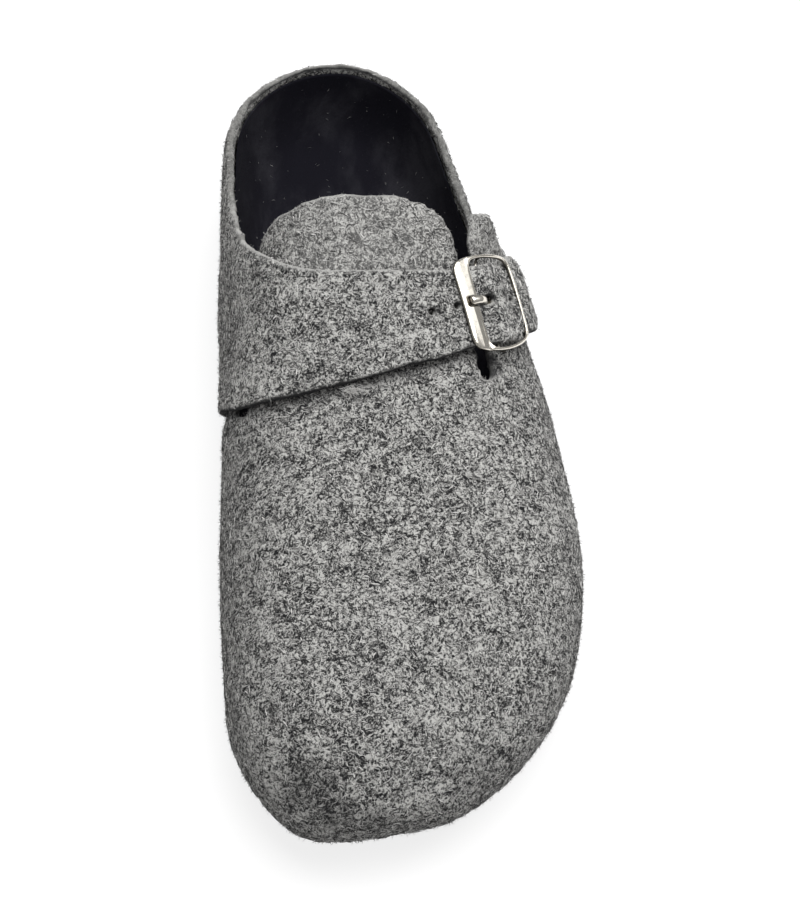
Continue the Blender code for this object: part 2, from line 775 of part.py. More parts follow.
def tube(name, points, side, width, thick, sides=12):
    """Closed tube of oval section along points, its width along side."""
    loops = []
    for i, p in enumerate(points):
        ahead = (points[min(i + 1, len(points) - 1)] - points[max(i - 1, 0)]).normalized()
        flat = (side - ahead * side.dot(ahead)).normalized()
        up = ahead.cross(flat)
        ring = []
        for k in range(sides):
            angle = 2.0 * math.pi * (k + 0.5) / sides
            ring.append(p + flat * (math.cos(angle) * width / 2) + up * (math.sin(angle) * thick / 2))
        loops.append(ring)
    first = [points[0]] * sides
    last = [points[-1]] * sides
    return loft(name, [first] + loops + [last])


def build_holes(axes):
    """Round strap holes and the slot of the prong as one cutter."""
    off = axes[3]
    spots = [(buckle_point(axes, along, PRONG_ACROSS, strap_lift(along)), off) for along in HOLE_STEPS]
    station, girth = HOLE_ON_INSTEP
    turn = side_turn(station, True)
    spots.append((girth_point(station, girth, 0.0), last_normal(turn, 2.0 * (1.0 - girth))))
    points = []
    faces = []

    def column(ring, direction):
        first = len(points)
        count = len(ring)
        points.extend([p - direction * 0.003 for p in ring] + [p + direction * 0.007 for p in ring])
        faces.append([first + i for i in reversed(range(count))])
        faces.append([first + count + i for i in range(count)])
        for i in range(count):
            j = (i + 1) % count
            faces.append([first + i, first + j, first + count + j, first + count + i])

    for centre, direction in spots:
        u = direction.cross(axes[2]).normalized()
        v = direction.cross(u)
        angles = [2.0 * math.pi * k / 12 for k in range(12)]
        column([centre + (u * math.cos(a) + v * math.sin(a)) * HOLE_RADIUS for a in angles], direction)
    slot = []
    for k in range(16):
        angle = 2.0 * math.pi * (k + 0.5) / 16
        end = SLOT_ALONG[1] - SLOT_HALF if math.cos(angle) > 0 else SLOT_ALONG[0] + SLOT_HALF
        across = PRONG_ACROSS + SLOT_HALF * math.sin(angle)
        slot.append(buckle_point(axes, end + SLOT_HALF * math.cos(angle), across, 0.0028))
    column(slot, off)
    return make_object("strap_cut", points, faces)


def build_buckle(axes):
    """Bent buckle frame with its centre bar, and the prong through the strap."""
    def ring_point(angle, inside):
        power = FRAME_POWER
        front = -FRAME_HALF_ALONG + (FRONT_BAR if inside else 0.0)
        rear = FRAME_HALF_ALONG - (REAR_BAR if inside else 0.0)
        half = FRAME_HALF_ACROSS - (RAIL if inside else 0.0)
        c = math.cos(angle)
        s = math.sin(angle)
        size = (abs(c) ** power + abs(s) ** power) ** (-1.0 / power)
        along = (front + rear) / 2 + (rear - front) / 2 * c * size
        bulge = FRAME_BULGE * (1.0 - (along / FRAME_HALF_ALONG) ** 2)
        across = (half + bulge) * s * size
        if across < 0.0:
            run = max(along - FRAME_TAPER_START, 0.0) / (FRAME_HALF_ALONG - FRAME_TAPER_START)
            across += FRAME_TAPER * run ** 2 * min(-across / half, 1.0)
        return along, across

    points = []
    faces = []
    rows = len(FRAME_PROFILE)
    for k in range(FRAME_POINTS):
        angle = 2.0 * math.pi * (k + 0.5) / FRAME_POINTS
        inside = ring_point(angle, True)
        outside = ring_point(angle, False)
        for share, height in FRAME_PROFILE:
            along = inside[0] + (outside[0] - inside[0]) * share
            across = inside[1] + (outside[1] - inside[1]) * share
            lift = FRAME_LIFT - along ** 2 / (2.0 * FRAME_BEND_RADIUS) + height * FRAME_THICK
            points.append(buckle_point(axes, along, across, lift))
        for j in range(rows):
            a = k * rows + j
            b = k * rows + (j + 1) % rows
            wrap = rows * FRAME_POINTS
            faces.append([a, b, (b + rows) % wrap, (a + rows) % wrap])
    frame = make_object("buckle_frame", points, faces)
    rail = FRAME_HALF_ACROSS + FRAME_BULGE - RAIL / 2
    leg = [(rail, FRAME_LIFT), (rail, BAR_LIFT + BAR_CORNER), (rail - BAR_CORNER, BAR_LIFT)]
    path = [buckle_point(axes, 0.0, -a, z) for a, z in leg]
    path += [buckle_point(axes, 0.0, a, z) for a, z in reversed(leg)]
    bar = tube("centre_bar", path, axes[1], 2 * BAR_RADIUS, 2 * BAR_RADIUS, 10)
    boolean(frame, bar, "UNION")
    top = FRAME_LIFT - (FRAME_HALF_ALONG - FRONT_BAR / 2) ** 2 / (2.0 * FRAME_BEND_RADIUS) + FRAME_THICK / 2
    low = -FRAME_HALF_ALONG - 0.001
    high = -FRAME_HALF_ALONG + FRONT_BAR + 0.001
    half = PRONG_WIDTH / 2 + GAP
    corners = ((low, -half), (high, -half), (high, half), (low, half))
    ring = [buckle_point(axes, a, PRONG_ACROSS + c, top - NOTCH_DEPTH) for a, c in corners]
    boolean(frame, prism("notch_cut", ring, axes[3] * 0.004), "DIFFERENCE")
    pins = [buckle_point(axes, pin.along, PRONG_ACROSS, pin.lift) for pin in PRONG_PATH]
    tube("buckle_prong", pins, axes[2], PRONG_WIDTH, PRONG_THICK, 10)


def main():
    """Build every piece of the shoe."""
    clear_scene()
    build_outsole()
    build_footbed()
    build_upper()
    axes = buckle_frame()
    build_heel_strap(axes)
    build_buckle(axes)


main()
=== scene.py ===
"""Looks of a felt mule: marled felt with loose fibres, suede footbed, rubber sole and nickel buckle.

Metres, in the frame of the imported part: +Z is up, the toe points to -Y and the outer side of the foot to +X.
"""
import math
from collections import namedtuple

import bmesh
import bpy
import numpy as np
from mathutils import Matrix, Vector, noise
from mathutils.bvhtree import BVHTree


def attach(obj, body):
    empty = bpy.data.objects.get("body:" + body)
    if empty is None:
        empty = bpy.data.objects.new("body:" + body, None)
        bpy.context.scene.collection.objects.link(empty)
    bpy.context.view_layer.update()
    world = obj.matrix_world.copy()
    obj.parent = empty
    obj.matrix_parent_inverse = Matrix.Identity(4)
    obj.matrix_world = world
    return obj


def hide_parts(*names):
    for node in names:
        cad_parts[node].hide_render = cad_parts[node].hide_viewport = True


bl_info = {
    "name": "Felt mule looks",
    "version": (1, 0, 0),
    "blender": (4, 5, 0),
    "location": "3D View > Sidebar > Mule",
    "description": "Gives the packed mule its felt, suede, rubber and nickel finishes",
    "category": "Object",
}

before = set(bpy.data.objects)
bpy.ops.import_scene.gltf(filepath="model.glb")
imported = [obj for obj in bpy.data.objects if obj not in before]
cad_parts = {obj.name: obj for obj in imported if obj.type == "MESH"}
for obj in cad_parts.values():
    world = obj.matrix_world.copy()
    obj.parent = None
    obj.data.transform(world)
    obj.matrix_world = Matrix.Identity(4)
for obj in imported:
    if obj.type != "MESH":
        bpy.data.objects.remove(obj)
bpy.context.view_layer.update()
BODY = "root"


# Settings

class MuleFeltSettings(bpy.types.PropertyGroup):
    """Sizes and colours of the felt."""

    upper_mesh: bpy.props.FloatProperty(
        name="Upper mesh", description="Spacing of the points on the upper", default=0.00095,
        min=0.0005, max=0.004, subtype="DISTANCE", unit="LENGTH")
    strap_mesh: bpy.props.FloatProperty(
        name="Strap mesh", description="Spacing of the points on the heel strap", default=0.0007,
        min=0.0004, max=0.004, subtype="DISTANCE", unit="LENGTH")
    sheet_thickness: bpy.props.FloatProperty(
        name="Sheet thickness", description="Thickness of the felt sheet", default=0.0028,
        min=0.001, max=0.006, subtype="DISTANCE", unit="LENGTH")
    waviness: bpy.props.FloatProperty(
        name="Waviness", description="How far the felt wanders from its even form", default=0.00035,
        min=0.0, max=0.002, subtype="DISTANCE", unit="LENGTH")
    # Also the colour that painted shade darkens the felt to
    dark: bpy.props.FloatVectorProperty(
        name="Dark wool", description="Colour of the dark fibres", default=(0.018, 0.018, 0.019),
        min=0.0, max=1.0, subtype="COLOR", size=3)
    middle: bpy.props.FloatVectorProperty(
        name="Grey wool", description="Colour of the grey fibres", default=(0.190, 0.188, 0.182),
        min=0.0, max=1.0, subtype="COLOR", size=3)
    light: bpy.props.FloatVectorProperty(
        name="Light wool", description="Colour of the light fibres", default=(0.54, 0.535, 0.515),
        min=0.0, max=1.0, subtype="COLOR", size=3)
    cut: bpy.props.FloatVectorProperty(
        name="Cut edge", description="Colour of the felt where it was cut", default=(0.20, 0.198, 0.190),
        min=0.0, max=1.0, subtype="COLOR", size=3)
    # Painted highlight on the cut edges that face the heel; the lighter tongue and tab take this colour too
    rubbed: bpy.props.FloatVectorProperty(
        name="Paler edge", description="Colour of the cut edges that face the heel",
        default=(0.46, 0.455, 0.44), min=0.0, max=1.0, subtype="COLOR", size=3)
    fibre_length: bpy.props.FloatProperty(
        name="Fibre length", description="Length of the fibres that lie on the felt", default=0.0015,
        min=0.0005, max=0.01, subtype="DISTANCE", unit="LENGTH")
    fibre_width: bpy.props.FloatProperty(
        name="Fibre width", description="Width of the fibres that lie on the felt", default=0.00029,
        min=0.00002, max=0.0005, subtype="DISTANCE", unit="LENGTH")
    hair_length: bpy.props.FloatProperty(
        name="Hair length", description="Length of the hairs that stand off the felt", default=0.0012,
        min=0.0005, max=0.01, subtype="DISTANCE", unit="LENGTH")
    hair_width: bpy.props.FloatProperty(
        name="Hair width", description="Width of the hairs that stand off the felt", default=0.00013,
        min=0.00002, max=0.0005, subtype="DISTANCE", unit="LENGTH")


class MuleSuedeSettings(bpy.types.PropertyGroup):
    """Sizes and colours of the suede footbed."""

    levels: bpy.props.IntProperty(
        name="Footbed levels", description="How often the faces of the footbed are divided", default=2,
        min=1, max=3)
    nap: bpy.props.FloatVectorProperty(
        name="Nap", description="Colour of the brushed suede", default=(0.0078, 0.0075, 0.0112),
        min=0.0, max=1.0, subtype="COLOR", size=3)
    smudge: bpy.props.FloatVectorProperty(
        name="Smudge", description="Colour of the suede where its nap lies the other way",
        default=(0.026, 0.0255, 0.031), min=0.0, max=1.0, subtype="COLOR", size=3)


class MuleSoleSettings(bpy.types.PropertyGroup):
    """Sizes and colours of the rubber sole."""

    mesh: bpy.props.FloatProperty(
        name="Sole mesh", description="Spacing of the points on the sole", default=0.00115,
        min=0.0006, max=0.005, subtype="DISTANCE", unit="LENGTH")
    rubber: bpy.props.FloatVectorProperty(
        name="Rubber", description="Colour of the rubber", default=(0.018, 0.018, 0.020),
        min=0.0, max=1.0, subtype="COLOR", size=3)
    dust: bpy.props.FloatVectorProperty(
        name="Dust", description="Colour of the dust in the rubber's grain", default=(0.050, 0.049, 0.047),
        min=0.0, max=1.0, subtype="COLOR", size=3)


class MuleBuckleSettings(bpy.types.PropertyGroup):
    """Sizes and colours of the buckle."""

    mesh: bpy.props.FloatProperty(
        name="Buckle mesh", description="Spacing of the points on the buckle", default=0.0002,
        min=0.0001, max=0.001, subtype="DISTANCE", unit="LENGTH")
    nickel: bpy.props.FloatVectorProperty(
        name="Nickel", description="Colour of the polished metal", default=(0.82, 0.78, 0.70),
        min=0.0, max=1.0, subtype="COLOR", size=3)
    tarnish: bpy.props.FloatVectorProperty(
        name="Tarnish", description="Colour of the metal where it is stained", default=(0.52, 0.49, 0.44),
        min=0.0, max=1.0, subtype="COLOR", size=3)
    # Painted shade on the sides and the back of the metal
    grime: bpy.props.FloatVectorProperty(
        name="Grime", description="Colour of the metal on its sides", default=(0.15, 0.135, 0.115),
        min=0.0, max=1.0, subtype="COLOR", size=3)


class MuleStageSettings(bpy.types.PropertyGroup):
    """Floor, light and camera."""

    floor: bpy.props.FloatVectorProperty(
        name="Floor", description="Colour of the floor", default=(0.28, 0.28, 0.28),
        min=0.0, max=1.0, subtype="COLOR", size=3)
    floor_glow: bpy.props.FloatProperty(
        name="Floor glow", description="Light that the floor gives off by itself", default=0.80,
        min=0.0, max=2.0)
    sky: bpy.props.FloatProperty(
        name="Sky", description="Strength of the light from above", default=0.46, min=0.0, max=5.0)
    horizon: bpy.props.FloatProperty(
        name="Horizon", description="Strength of the light from the sides", default=0.15, min=0.0, max=5.0)
    sky_lean: bpy.props.FloatVectorProperty(
        name="Sky lean", description="Where the sky is lightest", default=(0.25, 0.10, 0.96),
        subtype="DIRECTION", size=3)
    key_power: bpy.props.FloatProperty(
        name="Key light", description="Power of the large soft light", default=33.0,
        min=0.0, max=500.0, unit="POWER")
    key_place: bpy.props.FloatVectorProperty(
        name="Key place", description="Where the large soft light hangs", default=(0.24, 0.28, 1.66),
        subtype="XYZ", size=3)
    key_size: bpy.props.FloatProperty(
        name="Key size", description="Side of the large soft light", default=1.6,
        min=0.1, max=5.0, subtype="DISTANCE", unit="LENGTH")
    panel_power: bpy.props.FloatProperty(
        name="Panel light", description="Power of the panel that the buckle mirrors", default=0.86,
        min=0.0, max=500.0, unit="POWER")
    panel_place: bpy.props.FloatVectorProperty(
        name="Panel place", description="Where the panel stands", default=(0.87, 0.34, 0.86),
        subtype="XYZ", size=3)
    panel_size: bpy.props.FloatProperty(
        name="Panel size", description="Side of the panel", default=0.55,
        min=0.1, max=5.0, subtype="DISTANCE", unit="LENGTH")
    camera_place: bpy.props.FloatVectorProperty(
        name="Camera place", description="Where the camera stands", default=(-0.0532, -0.4735, 0.7181),
        subtype="XYZ", size=3)
    camera_tilt: bpy.props.FloatProperty(
        name="Camera tilt", description="Angle of the camera from straight down", default=math.radians(34.0),
        subtype="ANGLE", unit="ROTATION")
    camera_pan: bpy.props.FloatProperty(
        name="Camera pan", description="Turn of the camera towards the shoe", default=math.radians(-3.77),
        subtype="ANGLE", unit="ROTATION")
    lens: bpy.props.FloatProperty(
        name="Lens", description="Focal length for a 36 mm long side", default=115.0, min=10.0, max=400.0,
        subtype="DISTANCE_CAMERA")


# Mesh helpers

WELD_DISTANCE = 1e-6
SHARP_EDGE = math.radians(50.0)
FLAT_PAIR = math.radians(40.0)
RELAX_WEIGHT = 0.5
RAY_INSET = 0.0002


def welded_copy(name, node):
    """New object with the welded mesh of a CAD node."""
    mesh = bpy.data.meshes.new(name)
    shape = bmesh.new()
    shape.from_mesh(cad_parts[node].data)
    bmesh.ops.remove_doubles(shape, verts=shape.verts, dist=WELD_DISTANCE)
    shape.to_mesh(mesh)
    shape.free()
    item = bpy.data.objects.new(name, mesh)
    bpy.context.scene.collection.objects.link(item)
    return item


def apply_modifiers(item):
    """Turn the modifiers of an object into its mesh."""
    rough = item.data
    name = rough.name
    depsgraph = bpy.context.evaluated_depsgraph_get()
    item.data = bpy.data.meshes.new_from_object(item.evaluated_get(depsgraph))
    item.modifiers.clear()
    bpy.data.meshes.remove(rough)
    item.data.name = name


def even_copy(name, node, spacing):
    """New object with the form of a CAD node and evenly spaced points."""
    item = welded_copy(name, node)
    modifier = item.modifiers.new("Even points", "REMESH")
    modifier.mode = "VOXEL"
    modifier.voxel_size = spacing
    apply_modifiers(item)
    return item


def faired_copy(name, node, levels):
    """New object with the form of a CAD node, its faces divided and faired and its sharp edges kept."""
    item = welded_copy(name, node)
    shape = bmesh.new()
    shape.from_mesh(item.data)
    bmesh.ops.join_triangles(shape, faces=shape.faces, angle_face_threshold=FLAT_PAIR,
                             angle_shape_threshold=math.pi)
    crease = shape.edges.layers.float.new("crease_edge")
    for edge in shape.edges:
        if edge.calc_face_angle(0.0) > SHARP_EDGE:
            edge[crease] = 1.0
    shape.to_mesh(item.data)
    shape.free()
    modifier = item.modifiers.new("Faired faces", "SUBSURF")
    modifier.levels = levels
    modifier.render_levels = levels
    apply_modifiers(item)
    return item


def points_of(mesh):
    """Points of a mesh as an array."""
    flat = np.empty(len(mesh.vertices) * 3, np.float32)
    mesh.vertices.foreach_get("co", flat)
    return flat.reshape(-1, 3).astype(float)


def normals_of(mesh):
    """Point normals of a mesh as an array."""
    flat = np.empty(len(mesh.vertices) * 3, np.float32)
    mesh.vertex_normals.foreach_get("vector", flat)
    return flat.reshape(-1, 3).astype(float)


def edges_of(mesh):
    """Edges of a mesh as an array of point numbers."""
    flat = np.empty(len(mesh.edges) * 2, np.int32)
    mesh.edges.foreach_get("vertices", flat)
    return flat.reshape(-1, 2)


def triangles_of(mesh):
    """Triangles of a mesh as an array of point numbers."""
    mesh.calc_loop_triangles()
    flat = np.empty(len(mesh.loop_triangles) * 3, np.int32)
    mesh.loop_triangles.foreach_get("vertices", flat)
    return flat.reshape(-1, 3)


def set_points(mesh, points):
    """Move the points of a mesh."""
    mesh.vertices.foreach_set("co", points.astype(np.float32).ravel())
    mesh.update()


def neighbour_mean(values, edges):
    """Mean of each point's neighbours."""
    count = np.bincount(edges.ravel(), minlength=len(values)).astype(float)
    total = np.zeros_like(values)
    for axis in range(values.shape[1]):
        column = values[:, axis]
        total[:, axis] = np.bincount(edges[:, 0], column[edges[:, 1]], len(values))
        total[:, axis] += np.bincount(edges[:, 1], column[edges[:, 0]], len(values))
    return total / np.maximum(count, 1.0)[:, None]


def relax(values, edges, weight, passes):
    """Ease values towards the mean of their neighbours."""
    for _ in range(passes):
        values = values + weight * (neighbour_mean(values, edges) - values)
    return values


def ease(x, low, high):
    """Smooth step from 0 at low to 1 at high."""
    t = np.clip((x - low) / (high - low), 0.0, 1.0)
    return t * t * (3.0 - 2.0 * t)


def wander(points, spacing, offset):
    """Smooth random value from -1 to 1 at each point."""
    shift = Vector(offset)
    return np.array([noise.noise(Vector(p) / spacing + shift) for p in points])


def add_values(mesh, name, values):
    """Store one number per point on a mesh."""
    layer = mesh.attributes.new(name, "FLOAT", "POINT")
    layer.data.foreach_set("value", np.asarray(values, np.float32))


def values_of(mesh, name):
    """Numbers stored on the points of a mesh."""
    flat = np.empty(len(mesh.vertices), np.float32)
    mesh.attributes[name].data.foreach_get("value", flat)
    return flat.astype(float)


def inward_depth(item, points, normals, reach):
    """Thickness of a solid below each of its points."""
    depsgraph = bpy.context.evaluated_depsgraph_get()
    tree = BVHTree.FromObject(item, depsgraph)
    depths = np.full(len(points), reach)
    for i, (p, n) in enumerate(zip(points, normals)):
        start = Vector(p - n * RAY_INSET)
        hit = tree.ray_cast(start, Vector(-n), reach)
        if hit[0] is not None:
            depths[i] = hit[3]
    return depths


def finish_piece(item, material, node):
    """Smooth shading, material and the ties of a piece, which may stand for a CAD node."""
    item.data.materials.clear()
    item.data.materials.append(material)
    item.data.shade_smooth()
    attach(item, BODY)
    if node:
        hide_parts(node)


# Material helpers

class Shader:
    """Material with a few short calls for its nodes."""

    def __init__(self, name):
        self.material = bpy.data.materials.new(name)
        self.material.use_nodes = True
        self.tree = self.material.node_tree
        self.surface = self.tree.nodes["Principled BSDF"]
        self.place = self.add("ShaderNodeTexCoord").outputs["Object"]

    def add(self, kind, settings=None, **inputs):
        """New node; inputs are values or sockets, with _ for a space in their names."""
        node = self.tree.nodes.new(kind)
        for key, value in (settings or {}).items():
            setattr(node, key, value)
        for key, value in inputs.items():
            socket = int(key[1]) if key in ("i0", "i1") else key.replace("_", " ")
            self.feed(node.inputs[socket], value)
        return node

    def feed(self, socket, value):
        """Set a socket, or link another one to it."""
        if isinstance(value, bpy.types.NodeSocket):
            self.tree.links.new(value, socket)
        else:
            socket.default_value = value

    def noise(self, scale, detail=2.0, roughness=0.5, distortion=0.0, place=None):
        """Value of a noise."""
        node = self.add("ShaderNodeTexNoise", Vector=place or self.place, Scale=scale, Detail=detail,
                        Roughness=roughness, Distortion=distortion)
        return node.outputs["Fac"]

    def math(self, operation, a, b):
        """Result of a sum on two values."""
        return self.add("ShaderNodeMath", {"operation": operation}, i0=a, i1=b).outputs[0]

    def vector(self, operation, **inputs):
        """Result of a sum on vectors."""
        return self.add("ShaderNodeVectorMath", {"operation": operation}, **inputs).outputs[0]

    def total(self, *parts):
        """Sum of values, each times its share."""
        scaled = [self.math("MULTIPLY", value, share) for value, share in parts]
        result = scaled[0]
        for value in scaled[1:]:
            result = self.math("ADD", result, value)
        return result

    def spread(self, value, low, high, to_low=0.0, to_high=1.0):
        """Value mapped from one range to another and held inside it."""
        node = self.add("ShaderNodeMapRange", {"interpolation_type": "SMOOTHSTEP"}, Value=value, From_Min=low,
                        From_Max=high, To_Min=to_low, To_Max=to_high)
        return node.outputs["Result"]

    def ramp(self, value, stops):
        """Colour along stops of place and colour."""
        node = self.add("ShaderNodeValToRGB", Fac=value)
        bar = node.color_ramp.elements
        for i, (place, colour) in enumerate(stops):
            stop = bar[i] if i < 2 else bar.new(place)
            stop.position = place
            stop.color = (*colour, 1.0)
        return node.outputs["Color"]

    def mix(self, share, a, b):
        """Colour between two colours."""
        node = self.add("ShaderNodeMix", {"data_type": "RGBA"})
        self.feed(node.inputs["Factor"], share)
        for name, value in (("A", a), ("B", b)):
            socket = [s for s in node.inputs if s.name == name and s.type == "RGBA"][0]
            self.feed(socket, value if isinstance(value, bpy.types.NodeSocket) else (*value, 1.0))
        return [s for s in node.outputs if s.type == "RGBA"][0]

    def attribute(self, name):
        """Value stored on the points of the mesh."""
        return self.add("ShaderNodeAttribute", {"attribute_name": name}).outputs["Fac"]

    def bump(self, height, distance, strength):
        """Normal of a bumpy surface."""
        node = self.add("ShaderNodeBump", Height=height, Distance=distance, Strength=strength)
        return node.outputs["Normal"]

    def finish(self, **inputs):
        """Feed the surface and return the material."""
        for key, value in inputs.items():
            if isinstance(value, tuple) and len(value) == 3:
                value = (*value, 1.0)
            self.feed(self.surface.inputs[key.replace("_", " ")], value)
        return self.material


def colour(value):
    """Plain tuple of a colour setting."""
    return tuple(value)


# Materials

STREAK_TURNS = (
    (0.3, 0.2, 0.1),
    (1.4, 0.5, 0.9),
    (0.7, 1.3, 2.2),
    (2.1, 0.9, 0.4),
    (1.0, 2.3, 1.7),
    (2.6, 1.8, 2.9),
)
STREAK_STRETCH = (1.0, 1.0, 3.2)
STREAK_SCALE = 1650.0
CURL_SCALE = 420.0
CURL_SWING = 0.0026
GRAIN_SCALE = 1700.0
TUFT_SCALE = 520.0
CLOUD_SCALE = 150.0
STREAK_SHARE = 0.62
GRAIN_SHARE = 0.55
TUFT_SHARE = 0.30
CLOUD_SHARE = 0.26
TONE_SHIFT = 0.675
DARK_STOP = 0.405
MIDDLE_STOP = 0.49
LIGHT_STOP = 0.605
CUT_TINT = 0.82
FIBRE_HEIGHT = 0.7
PATCH_HEIGHT = 0.6
FELT_BUMP = 0.0009


def felt_material(settings):
    """Marled felt: light and dark fibres crossing each other over soft clouds of grey."""
    felt = Shader("marled_felt")
    curl = felt.add("ShaderNodeTexNoise", Vector=felt.place, Scale=CURL_SCALE, Detail=1.0).outputs["Color"]
    centred = felt.vector("SUBTRACT", i0=curl, i1=(0.5, 0.5, 0.5))
    swing = felt.vector("SCALE", i0=centred, Scale=CURL_SWING)
    curled = felt.vector("ADD", i0=felt.place, i1=swing)
    streaks = []
    for turn in STREAK_TURNS:
        turned = felt.add("ShaderNodeMapping", {"vector_type": "TEXTURE"}, Vector=curled, Rotation=turn,
                          Scale=STREAK_STRETCH).outputs[0]
        streaks.append(felt.noise(STREAK_SCALE, detail=1.0, place=turned))
    light = felt.math("MAXIMUM", felt.math("MAXIMUM", streaks[0], streaks[1]), streaks[2])
    dark = felt.math("MINIMUM", felt.math("MINIMUM", streaks[3], streaks[4]), streaks[5])
    grain = felt.noise(GRAIN_SCALE, roughness=0.6, distortion=0.6)
    tufts = felt.noise(TUFT_SCALE, roughness=0.55)
    clouds = felt.noise(CLOUD_SCALE, roughness=0.55)
    fibres = felt.total((light, STREAK_SHARE), (dark, STREAK_SHARE), (grain, GRAIN_SHARE))
    patches = felt.total((tufts, TUFT_SHARE), (clouds, CLOUD_SHARE))
    tone = felt.math("SUBTRACT", felt.math("ADD", fibres, patches), TONE_SHIFT)
    marl = felt.ramp(tone, (
        (DARK_STOP, colour(settings.dark)),
        (LIGHT_STOP, colour(settings.light)),
        (MIDDLE_STOP, colour(settings.middle)),
    ))
    cut = felt.math("MULTIPLY", felt.attribute("cut"), CUT_TINT)
    edged = felt.mix(cut, marl, colour(settings.cut))
    # Painted highlight on cut edges that face the heel, and lighter felt on the tongue and tab
    edged = felt.mix(felt.attribute("rubbed"), edged, colour(settings.rubbed))
    height = felt.total((fibres, FIBRE_HEIGHT), (patches, PATCH_HEIGHT))
    return felt.finish(
        # Painted shade: darker near the floor and toe, on the sides, at listed spots, in front of the strap
        # and on toe-facing cut faces
        Base_Color=felt.mix(felt.attribute("shade"), edged, colour(settings.dark)),
        Roughness=0.95,
        Specular_IOR_Level=0.12,
        Sheen_Weight=0.04,
        Sheen_Roughness=0.5,
        Normal=felt.bump(height, FELT_BUMP, 0.9),
    )


DARKEST_WOOL = (0.006, 0.006, 0.007)
LIGHTEST_WOOL = (0.72, 0.71, 0.69)
WOOL_STREAK = (0.20, 0.198, 0.19)
WOOL_STREAK_SCALE = 3000.0
WOOL_STREAK_SHARE = 0.15


def fibre_material(name):
    """Single wool fibres, each with its own shade of grey, darkened by any painted shade of the felt under it.
    """
    wool = Shader(name)
    tint = wool.ramp(wool.attribute("shade"), ((0.0, DARKEST_WOOL), (1.0, LIGHTEST_WOOL)))
    streak = wool.noise(WOOL_STREAK_SCALE, detail=1.0)
    return wool.finish(
        Base_Color=wool.mix(wool.spread(streak, 0.3, 0.7, 0.0, WOOL_STREAK_SHARE), tint, WOOL_STREAK),
        Roughness=0.85,
        Specular_IOR_Level=0.2,
    )


STROKE_TURN = (0.0, 0.0, 0.5)
STROKE_STRETCH = (1.0, 0.45, 1.0)
SMUDGE_SCALE = 46.0
NAP_SCALE = 2400.0
SUEDE_BUMP = 0.0004


def suede_material(settings):
    """Dark suede with patches of nap brushed the other way."""
    suede = Shader("black_suede")
    strokes = suede.add("ShaderNodeMapping", Vector=suede.place, Rotation=STROKE_TURN,
                        Scale=STROKE_STRETCH).outputs[0]
    patches = suede.noise(SMUDGE_SCALE, detail=6.0, roughness=0.62, distortion=0.3, place=strokes)
    nap = suede.noise(NAP_SCALE, detail=3.0, roughness=0.65)
    smudge = suede.math("MULTIPLY", suede.spread(patches, 0.44, 0.66),
                        suede.spread(nap, 0.25, 0.75, 0.5, 1.0))
    return suede.finish(
        Base_Color=suede.mix(smudge, colour(settings.nap), colour(settings.smudge)),
        Roughness=0.95,
        Specular_IOR_Level=0.06,
        Sheen_Weight=0.02,
        Sheen_Roughness=0.35,
        Normal=suede.bump(nap, SUEDE_BUMP, 0.6),
    )


def nap_material(settings):
    """Standing nap of the suede."""
    nap = Shader("suede_nap")
    return nap.finish(
        Base_Color=nap.mix(nap.attribute("shade"), colour(settings.nap), colour(settings.smudge)),
        Roughness=0.95,
        Specular_IOR_Level=0.06,
    )


PEBBLE_SCALE = 900.0
HAZE_SCALE = 60.0
RUBBER_BUMP = 0.00022


def rubber_material(settings):
    """Matt rubber with a fine pebble grain and dust in it."""
    rubber = Shader("sole_rubber")
    pebble = rubber.add("ShaderNodeTexVoronoi", Vector=rubber.place, Scale=PEBBLE_SCALE,
                        Randomness=0.9).outputs["Distance"]
    haze = rubber.noise(HAZE_SCALE, detail=4.0, roughness=0.6)
    dust = rubber.math("MULTIPLY", rubber.spread(haze, 0.42, 0.72),
                       rubber.spread(pebble, 0.2, 0.7, 0.25, 1.0))
    return rubber.finish(
        Base_Color=rubber.mix(dust, colour(settings.rubber), colour(settings.dust)),
        Roughness=rubber.spread(haze, 0.3, 0.7, 0.52, 0.72),
        Specular_IOR_Level=0.4,
        Normal=rubber.bump(pebble, RUBBER_BUMP, 0.7),
    )


BRUSH_TURN = (0.4, 0.6, 0.3)
BRUSH_STRETCH = (1.0, 0.08, 1.0)
SCRATCH_SCALE = 5200.0
SCRATCH_BUMP = 0.00002
TARNISH_SCALE = 380.0
TARNISH_SHARE = 0.55


def nickel_material(settings):
    """Polished nickel with fine scratches, dull tarnish spots and painted shade on its sides."""
    nickel = Shader("polished_nickel")
    brushed = nickel.add("ShaderNodeMapping", Vector=nickel.place, Rotation=BRUSH_TURN,
                         Scale=BRUSH_STRETCH).outputs[0]
    scratches = nickel.noise(SCRATCH_SCALE, roughness=0.7, place=brushed)
    stains = nickel.noise(TARNISH_SCALE, detail=3.0, roughness=0.6)
    dull = nickel.spread(stains, 0.50, 0.75, 0.0, TARNISH_SHARE)
    bright = nickel.mix(dull, colour(settings.nickel), colour(settings.tarnish))
    return nickel.finish(
        # Painted shade on the sides and the back of the metal
        Base_Color=nickel.mix(nickel.attribute("grime"), bright, colour(settings.grime)),
        Metallic=1.0,
        Roughness=nickel.spread(stains, 0.35, 0.75, 0.13, 0.26),
        Normal=nickel.bump(scratches, SCRATCH_BUMP, 0.35),
    )


# Felt pieces

